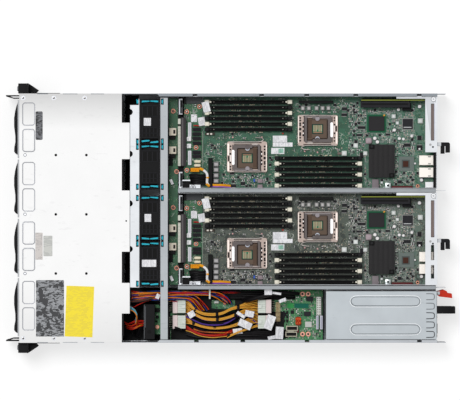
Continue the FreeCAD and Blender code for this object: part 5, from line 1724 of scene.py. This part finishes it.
for place in ((172.8, -22.6, 55.6, 10.0), (182.4, -22.0, 53.6, 11.0), (198.0, -27.0, 46.6, 8.0),
              (160.4, 15.4, 55.0, 10.0), (174.0, 10.6, 53.4, 10.0), (166.0, -62.0, 54.0, 9.0),
              (188.6, -64.6, 47.6, 9.0), (211.0, -2.0, 51.0, 9.0)):
    tie(*place)
sheathed = [
    ([(150, 28, 44), (148, 34, 58), (143, 52, 66), (136, 78, 68), (133, 96, 64), (134, 112, 56),
      (136, 126, 46)], 3.4),
    ([(146, 24, 40), (144, 40, 56), (139, 60, 62), (137, 90, 60), (140, 116, 46)], 2.6),
    ([(150, -176, 44), (149, -160, 50), (147, -140, 50), (150, -126, 46), (160, -116, 40)], 2.6),
    ([(158, -178, 30), (170, -166, 34), (186, -160, 36), (204, -158, 30), (214, -166, 22)], 2.8),
    ([(136, -180, 30), (150, -168, 32), (168, -164, 28), (190, -166, 24), (208, -172, 20)], 2.8),
]
for points, radius in sheathed:
    wire(points, NIGHT, radius, 2)
bundle([(160, -180, 60), (163, -172, 62), (169, -166, 60), (177, -163, 56), (186, -166, 46)], 9, 3,
       [(232, 236, 240), (120, 196, 214), (90, 180, 200), (232, 232, 236), (150, 206, 220), AMBER],
       1.1, 1.0, 42)
for k in range(5):
    x = 204.5 + k * 2.9
    wire([(x - 8, -76, 40 + k % 2 * 3), (x - 2, -60, 44 + k % 3 * 2), (x, -20, 44 + k % 2 * 4),
          (x + 0.6, 40, 44 + k % 3 * 3), (x - 1, 84, 42), (x - 3, 106, 36)], NIGHT, 1.9)
for k in range(4):
    x = 132.5 + k * 3.4
    wire([(x, -20, 38), (x + 1, 10, 42 + k % 2 * 4), (x - 1, 50, 44 + k % 3 * 3), (x, 90, 40),
          (x + 2, 120, 34)], NIGHT, 1.9)
fanned([(186, -189, 36), (190, -180, 40), (184, -170, 44), (183, -162, 44), (184, -152, 38)],
       [(198, -182, 30), (202, -174, 34), (199, -165, 36), (194, -160, 36), (191, -152, 32)],
       [RED, RED, (232, 70, 40), RED, RED, AMBER, RED], 1.0, 51)
bundle([(150, -192, 62), (150, -174, 62), (147, -150, 62), (141, -132, 64), (138, -116, 66)], 8, 4,
       [(74, 56, 50), (60, 60, 70), (96, 56, 44), (40, 60, 60), NIGHT], 1.2, 1.0, 52)
bundle([(196, -96, 58), (200, -84, 54)], 4, 2, [NIGHT, NIGHT], 1.2, 1.0, 53)
cable_strap = block((126.4, 145.0), (-34.6, -31.8), (66.0, 67.6), 0.6, 2)
harness_pieces.append(in_plastic(cable_strap, (232, 236, 226)))
paper_tags = [
    ((124.0, 137.4), (64.8, 78.2), 76.0, 2), ((174, 200), (66.8, 82.0), 56.4, -20),
    ((195, 217), (84.8, 98.8), 50.0, -4), ((184, 197), (18.0, 42.0), 56.8, -25),
    ((198, 208), (8.4, 25.4), 50.0, 8), ((166, 177), (30, 46), 59.6, -12),
    ((170.6, 176.4), (14.0, 31.0), 58.0, -35), ((167, 178), (-72, -60), 56.6, 30),
    ((135.6, 144.6), (-129.6, -122.6), 73.0, -25), ((144.4, 150.4), (90.6, 104.0), 60.0, 20),
    ((211.4, 217.4), (71.0, 86.0), 48.0, 10), ((132.6, 136.6), (77.5, 94.7), 70.6, -8),
]
for x, y, z, turn in paper_tags:
    harness_pieces.append(sticker(x, y, z, None, turn, 0.3))
harness = joined("power_harness_wires", harness_pieces)
mounted(harness, "case", smooth=40, replaces=["power_harness"])
print("harness faces:", len(harness.data.polygons))

# %% Blank, bay board and dark liner
corner_parts = [
    in_plastic(block((125.5, 220.4), (-190.0, 172.0), (1.25, 1.6), 0.1), (20, 20, 22)),
    in_plastic(block((-221.0, 124.0), (-186.0, -161.0), (1.25, 1.6), 0.1), (20, 20, 22)),
    in_plastic(block((155.2, 216.4), (-150.9, -150.3), (8.0, 66.4), 0.2), (150, 153, 157)),
    in_plastic(block((158.0, 196.0), (-149.2, -147.8), (65.9, 66.3), 0.1), (90, 92, 96)),
    in_plastic(drum((203.7, -141.6, 65.9), 3.4, 0.3, "Z", 18, 0.1), (8, 8, 9)),
]
mounted(joined("power_column_blank", corner_parts), "case")
bay_foot = BAY_DECK - TOP
bay_bits = [can(195.5, -127.5, 3.8, bay_foot + 0.6, (232, 176, 156), True, bay_foot, 18)]
for x, y in (((161.5, 169.0), (-131.0, -123.0)), ((175.0, 180.0), (-130.0, -125.0)),
             ((184.0, 187.0), (-131.0, -127.0))):
    bay_bits.append(part(x, y, bay_foot + 6, (16, 16, 17), bay_foot, 0.4))
mounted(joined("bay_board_parts", bay_bits), "case")
print("power column filled")

# %% [markdown]
# ## Power supplies
# A supply is a closed sheet-metal case. Its top has two long pressed ribs, drawn
# as a dark line of painted shade inside a bright line of painted highlight, and a
# row of small U-shaped cuts; its rear has a fan guard, the mains inlet, a black
# handle and a coloured release lever.

# %% Supplies
SUPPLY_X, SUPPLY_FLOOR = 173.9, 44.4
GUARD_X, GUARD_Z, GUARD_STEEL = SUPPLY_X - 21.0, SUPPLY_FLOOR + 20.0, (188, 192, 196)
supply_bits = []


def u_cut(x, y, z, colour):
    """One of the U-shaped cuts across the top, drawn as a thin line."""
    half = [(5.4, -7.4), (5.4, 3.0), (4.6, 6.6)]
    outline = [(x - a, y + b, z) for a, b in half] + [(x, y + 7.6, z)]
    outline += [(x + a, y + b, z) for a, b in reversed(half)]
    supply_bits.append(in_plastic(strands("cut", [outline], 0.85, 1), colour))


def rib_line(x, y, z, round_end, half, colour):
    """One outline line of a pressed rib: two long sides with a round end at each. The inner dark line is
    painted shade, the outer bright line painted highlight.
    """
    steps = (-1, -0.5, 0, 0.5, 1)
    angles = (0.6, 1.2, 1.57, 1.94, 2.54)
    path = [(x + round_end, y + k * half, z) for k in steps]
    path += [(x + round_end * math.cos(a), y + half + round_end * math.sin(a), z) for a in angles]
    path += [(x - round_end, y + k * half, z) for k in reversed(steps)]
    path += [(x - round_end * math.cos(a), y - half - round_end * math.sin(a), z) for a in angles]
    supply_bits.append(in_metal(strands("rim", [path + path[:1]], 0.7, 1), colour))


for dx in (-33.4, -16.4, 0.7, 17.1, 34.1):
    u_cut(SUPPLY_X + dx, 361.6, SUPPLY_FLOOR + 39.3, (60, 62, 66) if dx > 0 else (128, 132, 136))
for radius in (3.5, 7.0, 10.5, 14.0):
    bpy.ops.object.select_all(action="DESELECT")
    bpy.ops.mesh.primitive_torus_add(major_radius=radius * MM, minor_radius=0.55 * MM, major_segments=40,
                                     minor_segments=6, location=(GUARD_X * MM, 372.6 * MM, GUARD_Z * MM),
                                     rotation=(math.radians(90), 0, 0))
    supply_bits.append(in_metal(settle_in_place(bpy.context.object), GUARD_STEEL))
spoke = block(span(GUARD_X, 14.4), (371.9, 372.7), span(GUARD_Z, 0.5), 0.2)
for turn in range(0, 180, 45):
    turned = copied(spoke, (0, 0, 0), turn, (GUARD_X, 372.3, GUARD_Z), "Y")
    supply_bits.append(in_metal(turned, GUARD_STEEL))
discard(spoke)
supply_bits.append(in_plastic(drum((GUARD_X, 370.5, GUARD_Z), 15.2, 0.4, "Y", 36, 0.1), (16, 16, 17)))
for x in (177.6, 210.9):
    supply_bits.append(in_metal(drum((x, 372.4, 62.0), 2.0, 2.2, "Y", 12, 0.3), (206, 170, 120)))
edge_line = block((134.0, 214.0), (372.6, 373.5), (73.2, 83.6), 0.2)
supply_bits.append(in_plastic(edge_line, (54, 54, 60)))
inlet = block((186.6, 209.2), (371.6, 373.4), (SUPPLY_FLOOR + 12.6, SUPPLY_FLOOR + 20.4), 2.6, 3)
sunk(inlet, lambda at, n: n.y > 0.9, 2.2, 1.6)
supply_bits.append(in_plastic(inlet, (26, 26, 28)))
for dx, dz in ((-5, -2.4), (5, -2.4), (0, 3.0)):
    pin = block(span(197.9 + dx, 1.1), (357.6, 371.0), span(64.4 + dz, 2.2), 0.4)
    supply_bits.append(in_metal(pin, (206, 190, 150)))
# Each rib: a dark line of painted shade inside and a bright line of painted highlight outside.
for dx in (-25.1, 25.1):
    for grow, shade in ((-1.3, (104, 110, 114)), (0.9, (250, 252, 254))):
        rib_line(SUPPLY_X + dx, 281.3, 83.95, 9.2 + grow, 53.4, shade)
supply_trim = joined("power_supply_trim", supply_bits)
for n, drop in ((1, 0), (2, LEVEL_DROP)):
    eased_node(f"power_supply_{n}", supply_sheet, 0.4, others=(black_plastic,),
               where=lambda at: at.y > 373.1 and at.x > 150)
    mounted(copied(supply_trim, (0, 0, drop)), f"power_supply_{n}", f"power_supply_{n}_trim")
    eased_node(f"supply_latch_{n}", red_plastic, 0.7)
    eased_node(f"sled_latch_{n}", black_plastic, 0.6)
    eased_node(f"sled_latch_{n + 2}", black_plastic, 0.6)
discard(supply_trim)
print("supplies done")

# %% [markdown]
# ## Sheet metal that shows its edges
# The trays, the shelf frame, the fan rail and the case itself keep the shapes of
# their nodes. Copies with a fine bevel replace them, since the bright lines along
# folded edges are what makes sheet metal read as metal.

# %% Folded metal
# The top flange of the left wall takes the darker copy: painted dark reflection.
eased_node("chassis_tray", case_sheet, 0.25, others=(flange_dark_reflection,),
           where=lambda at: at.x < -217.0 and at.z > 85.0)
eased_node("bay_frame", inner_sheet, 0.2, others=(divider_sheet,), where=lambda at: at.z > 80.0)


def bracket_finish(at):
    """Black on the air blank, bright on the rail, brace steel elsewhere."""
    if at.x > 154.0 and at.y < -126.0 and at.z < 66.5:
        return 1
    return 2 if at.y < -155.0 else 0


eased_node("fan_brackets", brace_sheet, 0.2, others=(black_plastic, inner_sheet), where=bracket_finish)
for n in sled_numbers:
    eased_node(f"sled_tray_{n}", tray_sheet, 0.2, others=(inner_sheet,),
               where=lambda at: at.y > 351.0 and at.z > 80.0)
print("folded metal eased")
